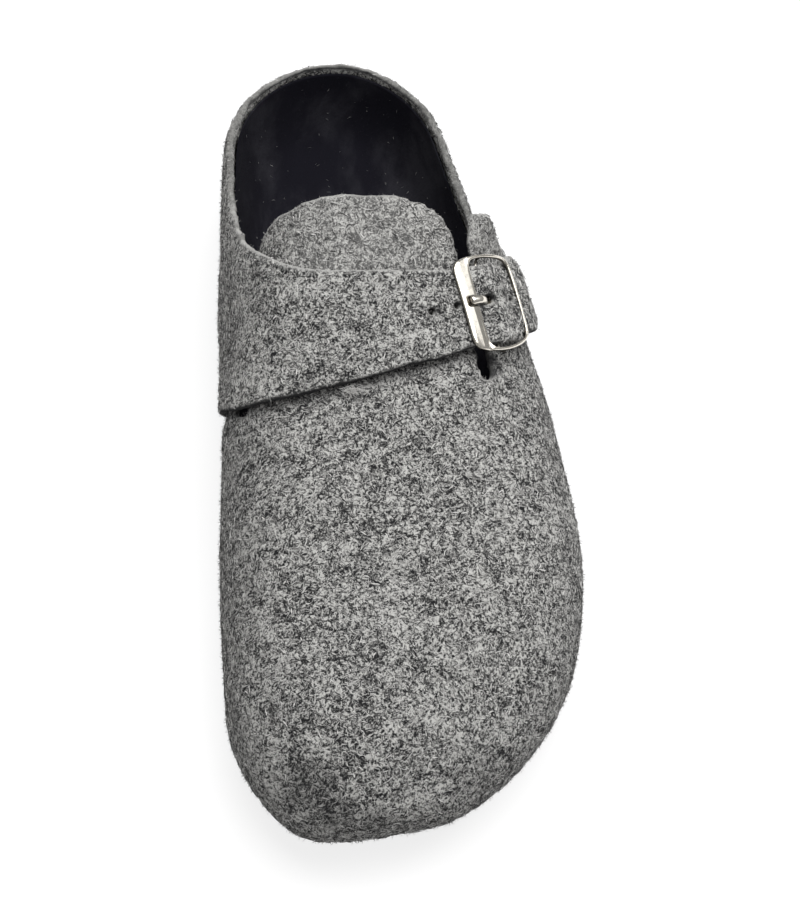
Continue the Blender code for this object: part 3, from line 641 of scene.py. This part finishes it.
Form = namedtuple("Form", "x y z radius rise")
INNER_SIDE_FORMS = (
    Form(-0.0495, 0.0300, 0.0470, 0.0130, -0.0018),
    Form(-0.0495, 0.0100, 0.0450, 0.0120, -0.0016),
)
UPPER_FORMS = (
    # Slot below the buckle and tab behind it
    Form(0.0249, -0.0074, 0.0591, 0.0032, 0.0008),
    Form(0.0268, -0.0030, 0.0575, 0.0026, 0.0005),
    Form(0.0262, 0.0425, 0.0718, 0.0060, 0.0012),
    # Inner side, in front of the strap and under it
    Form(-0.0490, -0.0085, 0.0390, 0.0080, 0.0014),
    Form(-0.0422, -0.0100, 0.0522, 0.0045, 0.0012),
    *INNER_SIDE_FORMS,
    # Toe and outer side
    Form(0.0130, -0.1210, 0.0200, 0.0120, 0.0011),
    Form(0.0500, -0.0550, 0.0200, 0.0300, 0.0011),
    Form(0.0380, -0.0950, 0.0180, 0.0260, 0.0011),
    Form(-0.0300, -0.1260, 0.0140, 0.0090, 0.0015),
    Form(-0.0300, -0.1120, 0.0300, 0.0110, -0.0011),
    Form(-0.0060, -0.1195, 0.0260, 0.0090, -0.0006),
    Form(0.0250, -0.0950, 0.0330, 0.0120, -0.0007),
    # Lump under the pulled tuft
    Form(-0.0140, -0.0125, 0.0640, 0.0030, 0.0005),
)
STRAP_FORMS = (
    *INNER_SIDE_FORMS,
    # Front edge, hole inside the buckle and tip
    Form(-0.0300, -0.0060, 0.0640, 0.0080, -0.0005),
    Form(0.0302, 0.0201, 0.0667, 0.0010, -0.0008),
    Form(0.0365, 0.0190, 0.0590, 0.0080, 0.0012),
)
# Round spots, used for painted shade, for lighter felt and for weakening painted shade
Stain = namedtuple("Stain", "x y z radius share")
UPPER_SHADE_SPOTS = (
    # Painted shade on the toe
    Stain(-0.0271, -0.1210, 0.0338, 0.0090, 0.45),
    Stain(-0.0208, -0.1267, 0.0289, 0.0070, 0.45),
    Stain(-0.0090, -0.1276, 0.0259, 0.0060, 0.42),
    Stain(0.0190, -0.1150, 0.0290, 0.0110, 0.20),
    # Painted shade on the wall of the slot below the buckle
    Stain(0.0277, -0.0003, 0.0596, 0.0026, 0.65),
    Stain(0.0263, 0.0012, 0.0599, 0.0024, 0.94),
    Stain(0.0265, -0.0028, 0.0592, 0.0020, 0.80),
    # Shade beside the pulled tuft
    Stain(-0.0122, -0.0148, 0.0632, 0.0016, 0.50),
)
STRAP_SHADE_SPOTS = (
    # Painted shade for holes in the strap inside the buckle
    Stain(0.0302, 0.0201, 0.0667, 0.0016, 1.00),
    Stain(0.0259, 0.0252, 0.0718, 0.0009, 0.70),
)
# Lighter felt on the tongue and on the tab
UPPER_LIGHTER_SPOTS = (
    Stain(-0.0120, 0.0320, 0.0760, 0.0240, 0.24),
    Stain(0.0250, 0.0380, 0.0710, 0.0090, 0.32),
)
BUCKLE_LIT = (
    Stain(0.0308, 0.0070, 0.0605, 0.0065, 0.80),
)
SPOT_EDGE = 4
Sheet = namedtuple("Sheet", "node passes side_shade forms stains worn")
UPPER_SHEET = Sheet(
    node="upper", passes=26, side_shade=0.13, forms=UPPER_FORMS, stains=UPPER_SHADE_SPOTS, worn=UPPER_LIGHTER_SPOTS)
STRAP_SHEET = Sheet(
    node="heel_strap", passes=30, side_shade=0.0, forms=STRAP_FORMS, stains=STRAP_SHADE_SPOTS, worn=())
FOOT_CORE = (-0.0115, 0.0, 0.032)
FOOT_CORE_RUN = (-0.080, 0.090)
# Painted shadow on the upper in front of the strap's edge
FRONT_SHADE = 0.85
FRONT_REACH = 0.0050
FRONT_CURVE = 1.5
Wave = namedtuple("Wave", "spacing share offset")
FELT_WAVES = (
    Wave(0.0160, 1.00, (3.1, 0.4, 7.7)),
    Wave(0.0055, 0.45, (9.2, 5.1, 2.6)),
    Wave(0.0024, 0.80, (1.7, 8.3, 4.2)),
)
# Cut edges: their reach and depth count in thicknesses of the sheet
CUT_REACH = 2.0
CUT_DEPTH = (1.16, 1.5)
CUT_HOLD = 1.3
CUT_PASSES = 2
# Painted shade on cut faces that face the toe
SHADED_CUT_FACE = (0.10, 0.45)
SHADED_CUT_GAIN = 1.5
SHADED_CUT_SHARE = 0.97
# Painted highlight on cut faces that face the heel
HIGHLIGHT_FACE = (0.30, 0.75)
HIGHLIGHT_PASSES = 5
HIGHLIGHT_GAIN = 3.2
HIGHLIGHT_SHARE = 0.85
# Painted shade on the inner and outer sides, by how far a face turns towards them
SIDE_FACE = (0.35, 0.85)
# Painted shade near the floor, by the drop below the floor's level and the run from the middle to the toe
LOW_SHADE = 0.36
LOW_DROP = (-0.030, -0.008)
LOW_TOE_DROP = (-0.031, -0.010)
LOW_TOE_RUN = (0.075, 0.115)


def outward(points):
    """Ways from the middle line of the foot to each point."""
    core = np.array(FOOT_CORE) * np.ones_like(points)
    core[:, 1] = np.clip(points[:, 1], *FOOT_CORE_RUN)
    away = points - core
    return away / np.linalg.norm(away, axis=1)[:, None]


def shape_forms(points, forms):
    """Points pushed out or in by listed soft ridges and troughs."""
    ways = outward(points)
    moved = points.copy()
    for form in forms:
        away = np.linalg.norm(points - np.array((form.x, form.y, form.z)), axis=1)
        moved += ways * (form.rise * np.exp(-(away / form.radius) ** 2))[:, None]
    return moved


def spot_share(points, stains):
    """How strongly listed spots act on each point."""
    share = np.zeros(len(points))
    for stain in stains:
        away = np.linalg.norm(points - np.array((stain.x, stain.y, stain.z)), axis=1)
        share = np.maximum(share, stain.share * np.exp(-(away / stain.radius) ** SPOT_EDGE))
    return share


def front_shadow_share(points, node):
    """Share of painted shadow: 1 right in front of a CAD node's toe side, falling to 0."""
    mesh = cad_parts[node].data
    tree = BVHTree.FromPolygons(points_of(mesh).tolist(), triangles_of(mesh).tolist())
    share = np.zeros(len(points))
    for i, point in enumerate(points):
        spot, _, _, away = tree.find_nearest(Vector(point), FRONT_REACH)
        if spot is not None and spot.y > point[1]:
            share[i] = 1.0 - away / FRONT_REACH
    return share ** FRONT_CURVE


def felt_sheet(name, sheet, spacing, settings):
    """Felt sheet with the form of a CAD node: faired faces, soft cut edges and a slight waviness."""
    item = even_copy(name, sheet.node, spacing)
    mesh = item.data
    points = points_of(mesh)
    edges = edges_of(mesh)
    thick = settings.sheet_thickness
    depth = inward_depth(item, points, normals_of(mesh), thick * CUT_REACH)
    cut = ease(depth, thick * CUT_DEPTH[0], thick * CUT_DEPTH[1])[:, None]
    cut = relax(cut, edges, RELAX_WEIGHT, CUT_PASSES)
    held = np.clip(cut * CUT_HOLD, 0.0, 1.0)
    points = relax(points, edges, RELAX_WEIGHT * (1.0 - held), sheet.passes)
    points = relax(points, edges, RELAX_WEIGHT, CUT_PASSES)
    set_points(mesh, points)
    normals = normals_of(mesh)
    wave = sum(layer.share * wander(points, layer.spacing, layer.offset) for layer in FELT_WAVES)
    points = shape_forms(points, sheet.forms)
    set_points(mesh, points + normals * (settings.waviness * wave)[:, None])
    store_tones(mesh, sheet, points, edges, cut)
    return item


def store_tones(mesh, sheet, points, edges, cut):
    """Store how cut a felt sheet is at each of its points, with its painted highlight, lighter spots and
    painted shade.
    """
    normals = normals_of(mesh)
    # Painted shade on cut faces that face the toe
    toeward_shade = np.clip(SHADED_CUT_GAIN * cut[:, 0], 0.0, 1.0) * ease(-normals[:, 1], *SHADED_CUT_FACE)
    # Painted highlight on cut faces that face the heel
    heelward = relax(cut * ease(normals[:, 1:2], *HIGHLIGHT_FACE), edges, RELAX_WEIGHT, HIGHLIGHT_PASSES)
    # Painted shade towards the floor and the toe
    low = LOW_SHADE * ease(-points[:, 2], *LOW_DROP)
    low_toe = LOW_SHADE * ease(-points[:, 2], *LOW_TOE_DROP) * ease(-points[:, 1], *LOW_TOE_RUN)
    # Painted shade on faces turned to the inner and outer sides
    side = sheet.side_shade * ease(np.abs(normals[:, 0]), *SIDE_FACE)
    # Painted shade near the floor, on the sides and at the listed spots
    soft = np.maximum(low + low_toe, np.maximum(side, spot_share(points, sheet.stains)))
    lit = 1.0 - spot_share(points, BUCKLE_LIT)
    # Painted shadow on the upper right in front of the strap, weakened inside the buckle's frame
    if sheet.node == "upper":
        soft = np.maximum(soft, FRONT_SHADE * lit * front_shadow_share(points, "heel_strap"))
    # Painted highlight on heel-facing cut faces, joined by the lighter spots on the tongue and tab
    rubbed = HIGHLIGHT_SHARE * np.clip(HIGHLIGHT_GAIN * heelward[:, 0], 0.0, 1.0)
    add_values(mesh, "cut", cut[:, 0])
    add_values(mesh, "rubbed", np.maximum(rubbed, spot_share(points, sheet.worn)))
    add_values(mesh, "shade", np.maximum(toeward_shade * SHADED_CUT_SHARE * lit, soft))


# Fibres, hairs and nap

OUTSIDE_FACE = (-0.1, 0.2)
STEEP_FACE = (-0.5, -0.1)
CUT_GAIN = 2.0


def outside_share(points, normals):
    """1 where a face looks away from the foot's space and 0 where it looks into it."""
    return ease((outward(points) * normals).sum(axis=1), *OUTSIDE_FACE)


def scatter(mesh, count, random, inside=1.0, on_cut=1.0, on_sides=1.0):
    """Random places on a mesh, with the normals and the shade there, by shares for its kinds of faces."""
    points = points_of(mesh)
    normals = normals_of(mesh)
    triangles = triangles_of(mesh)
    corners = points[triangles]
    area = np.linalg.norm(np.cross(corners[:, 1] - corners[:, 0], corners[:, 2] - corners[:, 0]), axis=1)
    facing_way = normals[triangles].mean(axis=1)
    facing = outside_share(corners.mean(axis=1), facing_way)
    odds = area * (inside + (1.0 - inside) * facing)
    odds = odds * (1.0 + (on_sides - 1.0) * ease(-facing_way[:, 2], *STEEP_FACE))
    if "cut" in mesh.attributes:
        cut = values_of(mesh, "cut")[triangles].mean(axis=1)
        odds = odds * (1.0 + (on_cut - 1.0) * np.clip(CUT_GAIN * cut, 0.0, 1.0))
    chosen = random.choice(len(triangles), count, p=odds / odds.sum())
    u = np.sqrt(random.random(count))
    v = random.random(count)
    weights = np.stack((1.0 - u, u * (1.0 - v), u * v), axis=1)[:, :, None]
    places = (corners[chosen] * weights).sum(axis=1)
    ways = (normals[triangles[chosen]] * weights).sum(axis=1)
    shade = np.zeros(count)
    if "shade" in mesh.attributes:
        shade = (values_of(mesh, "shade")[triangles[chosen]] * weights[:, :, 0]).sum(axis=1)
    return places, ways / np.linalg.norm(ways, axis=1)[:, None], shade


Lay = namedtuple("Lay", "lift curl stand steps")
BEND_SPREAD = (0.4, 1.3)
SWAY_TURN = 2.6
STAND_SHORTER = 0.55
STAND_RISE = (0.25, 0.8)
STAND_CURVE = 0.8


def fibre_paths(places, ways, lengths, lay, random, combed=(0.0, 0.0, 0.0)):
    """Curved paths of fibres: they lie along the felt or, with stand, lean out of it."""
    count = len(places)
    one_each = (count, 1, 1)
    any_way = random.normal(size=(count, 3)) + np.cross(ways, combed)
    along = np.cross(any_way, ways)
    along /= np.linalg.norm(along, axis=1)[:, None]
    side = np.cross(ways, along)
    s = np.linspace(0.0, 1.0, lay.steps + 1)[None, :, None]
    phase = random.random(one_each) * 2.0 * math.pi
    bend = lay.curl * random.uniform(*BEND_SPREAD, one_each)
    length = lengths[:, None, None]
    run = (s - 0.5 * (1.0 - lay.stand)) * length * (1.0 - STAND_SHORTER * lay.stand)
    sway = bend * length * (np.sin(SWAY_TURN * s + phase) - np.sin(phase))
    rise = lay.lift * random.random(one_each)
    rise = rise + lay.stand * length * random.uniform(*STAND_RISE, one_each) * s ** STAND_CURVE
    paths = places[:, None, :] + along[:, None, :] * run + side[:, None, :] * sway + ways[:, None, :] * rise
    return paths, side


RIBBON = 2
TUBE = 3
FIBRE_TAPER = (0.35, math.pi - 0.25)


def fibre_mesh(name, paths, side, widths, shades, sides):
    """Joined mesh of fibres along paths: flat ribbons with 2 sides or thin tubes with 3."""
    count, rings = paths.shape[:2]
    ahead = np.gradient(paths, axis=1)
    ahead /= np.linalg.norm(ahead, axis=2)[:, :, None]
    across = side[:, None, :] - ahead * (ahead * side[:, None, :]).sum(axis=2)[:, :, None]
    across /= np.linalg.norm(across, axis=2)[:, :, None]
    third = np.cross(ahead, across)
    taper = np.sin(np.linspace(*FIBRE_TAPER, rings))[None, :, None]
    half = 0.5 * widths[:, None, None] * taper
    corners = []
    for k in range(sides):
        angle = 2.0 * math.pi * k / sides
        corners.append(paths + (across * math.cos(angle) + third * math.sin(angle)) * half)
    points = np.stack(corners, axis=2).reshape(-1, 3)
    first = np.arange(count * rings).reshape(count, rings)[:, :-1].reshape(-1) * sides
    faces = []
    for k in range(1 if sides == RIBBON else sides):
        j = (k + 1) % sides
        faces.append(np.stack((first + k, first + j, first + sides + j, first + sides + k), axis=1))
    mesh = bpy.data.meshes.new(name)
    mesh.from_pydata(points, [], np.concatenate(faces))
    add_values(mesh, "shade", np.repeat(shades, rings * sides))
    item = bpy.data.objects.new(name, mesh)
    bpy.context.scene.collection.objects.link(item)
    return item


DARK_WOOL_SHARE = 0.43
LIGHT_WOOL_SHARE = 0.35
DARK_WOOL_END = 0.14
LIGHT_WOOL_START = 0.62


def wool_shades(count, random):
    """Shades of wool fibres: many dark, many light and some grey."""
    kind = random.random(count)
    dark = random.uniform(0.0, DARK_WOOL_END, count)
    light = random.uniform(LIGHT_WOOL_START, 1.0, count)
    grey = random.uniform(DARK_WOOL_END, LIGHT_WOOL_START, count)
    pale = np.where(kind < DARK_WOOL_SHARE + LIGHT_WOOL_SHARE, light, grey)
    return np.where(kind < DARK_WOOL_SHARE, dark, pale)


Fuzz = namedtuple("Fuzz", "inside on_cut lay lengths widths tilt")
MATTED = Fuzz(
    inside=0.12, on_cut=0.1, lay=Lay(lift=0.0003, curl=0.22, stand=0.0, steps=3),
    lengths=(0.45, 1.5), widths=(0.55, 1.3), tilt=math.radians(55.0))
LOOSE = Fuzz(
    inside=0.10, on_cut=1.0, lay=Lay(lift=0.0, curl=0.22, stand=1.0, steps=2),
    lengths=(0.4, 1.5), widths=(0.6, 1.2), tilt=0.0)
FUZZ_ON_SIDES = 2.2
Cover = namedtuple("Cover", "name felt slot fuzz count seed")
FELT_COVERS = (
    Cover("upper_fibres", "felt_upper", "upper_felt", MATTED, 31000, 11),
    Cover("strap_fibres", "felt_heel_strap", "strap_felt", MATTED, 15000, 12),
    Cover("upper_hairs", "felt_upper", "upper_felt", LOOSE, 24000, 13),
    Cover("strap_hairs", "felt_heel_strap", "strap_felt", LOOSE, 13000, 14),
)


def felt_cover(cover, length, width):
    """Wool on a felt piece: flat fibres matted on it or fine hairs that stand off it."""
    random = np.random.default_rng(cover.seed)
    fuzz = cover.fuzz
    felt = bpy.data.objects[cover.felt].data
    places, ways, shade = scatter(felt, cover.count, random, fuzz.inside, fuzz.on_cut, FUZZ_ON_SIDES)
    lengths = length * random.uniform(*fuzz.lengths, cover.count)
    paths, side = fibre_paths(places, ways, lengths, fuzz.lay, random)
    if fuzz.tilt:
        tilt = random.uniform(-fuzz.tilt, fuzz.tilt, (cover.count, 1))
        side = side * np.cos(tilt) + ways * np.sin(tilt)
    widths = width * random.uniform(*fuzz.widths, cover.count)
    # The felt's painted shade darkens the fibres on it too
    shades = wool_shades(cover.count, random) * (1.0 - shade)
    return fibre_mesh(cover.name, paths, side, widths, shades, RIBBON)


TUFT_PLACE = (-0.0144, -0.0124, 0.0638)
TUFT_SPREAD = (0.0011, 0.0006, 0.0001)
TUFT_COMBED = (5.0, -2.0, 0.0)
TUFT_LAY = Lay(lift=0.0007, curl=0.30, stand=0.2, steps=4)
TUFT_ROOT = 0.0003
TUFT_LENGTHS = (0.7, 1.6)
TUFT_WIDTHS = (1.0, 1.8)
TUFT_SHADES = (0.65, 1.0)
TUFT_COUNT = 110
TUFT_SEED = 15


def wool_tuft(name, felt, length, width):
    """Tuft of light fibres pulled out of a felt piece at the strap's front edge."""
    random = np.random.default_rng(TUFT_SEED)
    tree = BVHTree.FromObject(felt, bpy.context.evaluated_depsgraph_get())
    spots = np.array(TUFT_PLACE) + random.normal(size=(TUFT_COUNT, 3)) * np.array(TUFT_SPREAD)
    hits = [tree.find_nearest(Vector(spot)) for spot in spots]
    ways = np.array([hit[1] for hit in hits])
    places = np.array([hit[0] for hit in hits]) + ways * TUFT_ROOT
    lengths = length * random.uniform(*TUFT_LENGTHS, TUFT_COUNT)
    paths, side = fibre_paths(places, ways, lengths, TUFT_LAY, random, TUFT_COMBED)
    widths = width * random.uniform(*TUFT_WIDTHS, TUFT_COUNT)
    return fibre_mesh(name, paths, side, widths, random.uniform(*TUFT_SHADES, TUFT_COUNT), TUBE)


Down = namedtuple("Down", "count tries face start length lengths lay width shades sides")
NAP = Down(
    count=6000, tries=3, face=0.05, start=0.015, length=0.0009, lengths=(0.5, 1.4),
    lay=Lay(lift=0.0, curl=0.2, stand=0.8, steps=2), width=0.00013, shades=(0.0, 1.0), sides=RIBBON)
LINT = Down(
    count=130, tries=6, face=0.3, start=0.02, length=0.0008, lengths=(0.4, 1.6),
    lay=Lay(lift=0.0003, curl=0.3, stand=0.1, steps=3), width=0.00010, shades=(0.15, 0.60), sides=TUBE)
DOWN_SEED = 21


def bed_down(name, bed, down, random):
    """Short nap or pale specks of lint on the part of the footbed that shows."""
    places, ways, _ = scatter(bed.data, down.count * down.tries, random)
    shown = np.flatnonzero((ways[:, 2] > down.face) & (places[:, 1] > down.start))[:down.count]
    lengths = down.length * random.uniform(*down.lengths, len(shown))
    paths, side = fibre_paths(places[shown], ways[shown], lengths, down.lay, random)
    widths = np.full(len(shown), down.width)
    return fibre_mesh(name, paths, side, widths, random.uniform(*down.shades, len(shown)), down.sides)


# Sole and buckle

SOLE_PASSES = 3
TREAD_STEP = 0.0068
TREAD_DEPTH = 0.0008
TREAD_SWING = 0.0014
TREAD_SWING_RUN = 0.0210
TREAD_GROOVE = (-0.1, 0.8)
TREAD_FACE = (0.80, 0.95)


def tread_share(points, normals):
    """1 in the fine wavy grooves under the sole and 0 on the ribs between them."""
    swing = TREAD_SWING * np.sin(points[:, 0] * 2.0 * math.pi / TREAD_SWING_RUN)
    groove = ease(np.sin((points[:, 1] + swing) * 2.0 * math.pi / TREAD_STEP), *TREAD_GROOVE)
    return groove * ease(-normals[:, 2], *TREAD_FACE)


# Front bar of the buckle: its middle, the way it runs and the way its face looks
BAR_MIDDLE = np.array((0.0195, 0.0115, 0.0726))
BAR_RUN = np.array((0.277, -0.882, -0.385))
BAR_FACE = np.array((0.38, -0.27, 0.88))
BAR_SIDE = np.cross(BAR_FACE, BAR_RUN)
BAR_HALF = 0.0125
BAR_BOW = 0.0004
BAR_SLOPE = 0.0005
BAR_SLOPE_RUN = (0.0012, 0.0028)
BAR_SLOPE_END = (0.0030, 0.0045)
BAR_SLOPE_LOWER = (-0.0030, 0.0030)
BAR_SLOPE_TOP = 0.30
# Painted shade on metal faces turned away from the bar's face
SIDE_SHADE_FACE = (-0.55, -0.15)
FRAME_PASSES = 6
PRONG_PASSES = 16
PRONG_SWELL = 0.00038


def bow_frame(points):
    """Buckle frame with its bars bowed along their length and the front bar sloped to the inside."""
    offset = points - BAR_MIDDLE
    across = offset @ BAR_SIDE
    along = offset @ BAR_RUN
    bow = BAR_BOW * (along / BAR_HALF) ** 2
    slope = BAR_SLOPE * np.interp(across, BAR_SLOPE_RUN, (0.0, 1.0)) * (1.0 - ease(across, *BAR_SLOPE_END))
    slope = slope * (BAR_SLOPE_TOP + (1.0 - BAR_SLOPE_TOP) * ease(along, *BAR_SLOPE_LOWER))
    return points - (bow + slope)[:, None] * BAR_FACE


def metal_side_shade(mesh):
    """Painted shade: 1 on the sides and the back of a metal piece and 0 on its face."""
    return ease(-(normals_of(mesh) @ BAR_FACE), *SIDE_SHADE_FACE)


# Operators

class MULE_OT_felt_upper(bpy.types.Operator):
    """Make the felt vamp with its tongue and outer quarter"""

    bl_idname = "mule.felt_upper"
    bl_label = "Felt upper"

    def execute(self, context):
        settings = context.scene.mule_felt
        felt = felt_sheet("felt_upper", UPPER_SHEET, settings.upper_mesh, settings)
        finish_piece(felt, felt_material(settings), "upper")
        return {"FINISHED"}


class MULE_OT_felt_strap(bpy.types.Operator):
    """Make the felt heel band and strap"""

    bl_idname = "mule.felt_strap"
    bl_label = "Felt heel strap"

    def execute(self, context):
        settings = context.scene.mule_felt
        felt = felt_sheet("felt_heel_strap", STRAP_SHEET, settings.strap_mesh, settings)
        finish_piece(felt, bpy.data.materials["marled_felt"], "heel_strap")
        return {"FINISHED"}


class MULE_OT_felt_fibres(bpy.types.Operator):
    """Scatter matted fibres and loose hairs over the felt"""

    bl_idname = "mule.felt_fibres"
    bl_label = "Felt fibres"

    def execute(self, context):
        settings = context.scene.mule_felt
        wool = fibre_material("wool_fibre")
        sizes = {
            MATTED: (settings.fibre_length, settings.fibre_width),
            LOOSE: (settings.hair_length, settings.hair_width),
        }
        for cover in FELT_COVERS:
            finish_piece(felt_cover(cover, *sizes[cover.fuzz]), wool, None)
        tuft = wool_tuft("wool_tuft", bpy.data.objects["felt_upper"], *sizes[LOOSE])
        finish_piece(tuft, wool, None)
        return {"FINISHED"}


class MULE_OT_footbed(bpy.types.Operator):
    """Make the suede footbed with its heel cup"""

    bl_idname = "mule.footbed"
    bl_label = "Suede footbed"

    def execute(self, context):
        settings = context.scene.mule_suede
        bed = faired_copy("suede_footbed", "footbed", settings.levels)
        finish_piece(bed, suede_material(settings), "footbed")
        random = np.random.default_rng(DOWN_SEED)
        nap = bed_down("suede_nap", bed, NAP, random)
        finish_piece(nap, nap_material(settings), None)
        lint = bed_down("footbed_lint", bed, LINT, random)
        finish_piece(lint, fibre_material("footbed_lint"), None)
        return {"FINISHED"}


class MULE_OT_outsole(bpy.types.Operator):
    """Make the rubber outsole"""

    bl_idname = "mule.outsole"
    bl_label = "Rubber outsole"

    def execute(self, context):
        settings = context.scene.mule_sole
        sole = even_copy("rubber_outsole", "outsole", settings.mesh)
        points = relax(points_of(sole.data), edges_of(sole.data), RELAX_WEIGHT, SOLE_PASSES)
        points[:, 2] = np.maximum(points[:, 2], 0.0)
        set_points(sole.data, points)
        points[:, 2] += TREAD_DEPTH * tread_share(points, normals_of(sole.data))
        set_points(sole.data, points)
        finish_piece(sole, rubber_material(settings), "outsole")
        return {"FINISHED"}


class MULE_OT_buckle(bpy.types.Operator):
    """Make the nickel buckle frame and its prong"""

    bl_idname = "mule.buckle"
    bl_label = "Nickel buckle"

    def execute(self, context):
        settings = context.scene.mule_buckle
        nickel = nickel_material(settings)
        bars = even_copy("nickel_frame", "buckle_frame", settings.mesh)
        points = relax(points_of(bars.data), edges_of(bars.data), RELAX_WEIGHT, FRAME_PASSES)
        set_points(bars.data, bow_frame(points))
        add_values(bars.data, "grime", metal_side_shade(bars.data))
        finish_piece(bars, nickel, "buckle_frame")
        prong = even_copy("nickel_prong", "buckle_prong", settings.mesh)
        points = relax(points_of(prong.data), edges_of(prong.data), RELAX_WEIGHT, PRONG_PASSES)
        set_points(prong.data, points)
        set_points(prong.data, points_of(prong.data) + normals_of(prong.data) * PRONG_SWELL)
        add_values(prong.data, "grime", metal_side_shade(prong.data))
        finish_piece(prong, nickel, "buckle_prong")
        return {"FINISHED"}


FLOOR_LEVEL = -0.0002
FLOOR_RADIUS = 4.0
FLOOR_SIDES = 96
FLOOR_MOTTLE = 0.985
FLOOR_MOTTLE_SCALE = 3.0
SENSOR_WIDTH = 36.0
CLIP_START = 0.01


class MULE_OT_stage(bpy.types.Operator):
    """Set the floor, the studio light and the camera"""

    bl_idname = "mule.stage"
    bl_label = "Stage"

    def execute(self, context):
        settings = context.scene.mule_stage
        scene = context.scene
        scene.view_settings.view_transform = "Standard"
        self.make_floor(settings)
        self.make_light(scene, settings)
        self.make_camera(scene, settings)
        return {"FINISHED"}

    def make_floor(self, settings):
        """Large round floor in a pale even tone."""
        mesh = bpy.data.meshes.new("floor")
        shape = bmesh.new()
        bmesh.ops.create_circle(shape, cap_ends=True, segments=FLOOR_SIDES, radius=FLOOR_RADIUS)
        shape.to_mesh(mesh)
        shape.free()
        floor = bpy.data.objects.new("floor", mesh)
        floor.location.z = FLOOR_LEVEL
        bpy.context.scene.collection.objects.link(floor)
        paper = Shader("pale_floor")
        mottle = paper.noise(FLOOR_MOTTLE_SCALE)
        tone = colour(settings.floor)
        darker = tuple(FLOOR_MOTTLE * c for c in tone)
        mesh.materials.append(paper.finish(
            Base_Color=paper.mix(paper.spread(mottle, 0.3, 0.7), tone, darker),
            Roughness=0.9,
            Specular_IOR_Level=0.1,
            Emission_Color=(1.0, 1.0, 1.0),
            Emission_Strength=settings.floor_glow,
        ))

    def make_light(self, scene, settings):
        """Sky that is lighter above, one large soft light and a panel for the buckle."""
        world = bpy.data.worlds.new("studio")
        world.use_nodes = True
        nodes = world.node_tree.nodes
        links = world.node_tree.links
        way = nodes.new("ShaderNodeTexCoord")
        rise = nodes.new("ShaderNodeVectorMath")
        rise.operation = "DOT_PRODUCT"
        rise.inputs[1].default_value = settings.sky_lean
        glow = nodes.new("ShaderNodeMapRange")
        glow.inputs["To Min"].default_value = settings.horizon
        glow.inputs["To Max"].default_value = settings.sky
        background = nodes["Background"]
        background.inputs["Color"].default_value = (1.0, 1.0, 1.0, 1.0)
        links.new(way.outputs["Generated"], rise.inputs[0])
        links.new(rise.outputs["Value"], glow.inputs["Value"])
        links.new(glow.outputs["Result"], background.inputs["Strength"])
        scene.world = world
        self.make_lamp(scene, "key", settings.key_power, settings.key_place, settings.key_size)
        self.make_lamp(scene, "panel", settings.panel_power, settings.panel_place, settings.panel_size)

    def make_lamp(self, scene, name, power, place, size):
        """Square soft light that looks at the shoe."""
        data = bpy.data.lights.new(name, "AREA")
        data.energy = power
        data.size = size
        lamp = bpy.data.objects.new(name, data)
        lamp.location = place
        lamp.rotation_euler = (-Vector(place)).to_track_quat("-Z", "Y").to_euler()
        scene.collection.objects.link(lamp)

    def make_camera(self, scene, settings):
        """Camera that looks down on the shoe from its toe end."""
        data = bpy.data.cameras.new("camera")
        data.lens = settings.lens
        data.sensor_width = SENSOR_WIDTH
        data.clip_start = CLIP_START
        camera = bpy.data.objects.new("camera", data)
        tilt = Matrix.Rotation(settings.camera_tilt, 4, "X")
        pan = Matrix.Rotation(settings.camera_pan, 4, "Y")
        camera.matrix_world = Matrix.Translation(settings.camera_place) @ tilt @ pan
        scene.collection.objects.link(camera)
        scene.camera = camera


class MULE_PT_sidebar(bpy.types.Panel):
    """Sidebar with the pieces of the mule"""

    bl_idname = "MULE_PT_sidebar"
    bl_label = "Felt mule"
    bl_space_type = "VIEW_3D"
    bl_region_type = "UI"
    bl_category = "Mule"

    def draw(self, context):
        for piece in PIECES:
            self.layout.operator(piece.bl_idname)


GROUPS = {
    "mule_felt": MuleFeltSettings,
    "mule_suede": MuleSuedeSettings,
    "mule_sole": MuleSoleSettings,
    "mule_buckle": MuleBuckleSettings,
    "mule_stage": MuleStageSettings,
}
PIECES = (
    MULE_OT_stage,
    MULE_OT_outsole,
    MULE_OT_footbed,
    MULE_OT_felt_upper,
    MULE_OT_felt_strap,
    MULE_OT_felt_fibres,
    MULE_OT_buckle,
)


def register():
    """Register the settings, the operators and the panel."""
    for name, group in GROUPS.items():
        bpy.utils.register_class(group)
        setattr(bpy.types.Scene, name, bpy.props.PointerProperty(type=group))
    for piece in PIECES + (MULE_PT_sidebar,):
        bpy.utils.register_class(piece)


def unregister():
    """Take the panel, the operators and the settings out again."""
    for piece in reversed(PIECES + (MULE_PT_sidebar,)):
        bpy.utils.unregister_class(piece)
    for name, group in reversed(GROUPS.items()):
        delattr(bpy.types.Scene, name)
        bpy.utils.unregister_class(group)


def main():
    """Build every piece."""
    register()
    bpy.ops.mule.stage()
    bpy.ops.mule.outsole()
    bpy.ops.mule.footbed()
    bpy.ops.mule.felt_upper()
    bpy.ops.mule.felt_strap()
    bpy.ops.mule.felt_fibres()
    bpy.ops.mule.buckle()


if __name__ == "__main__":
    main()
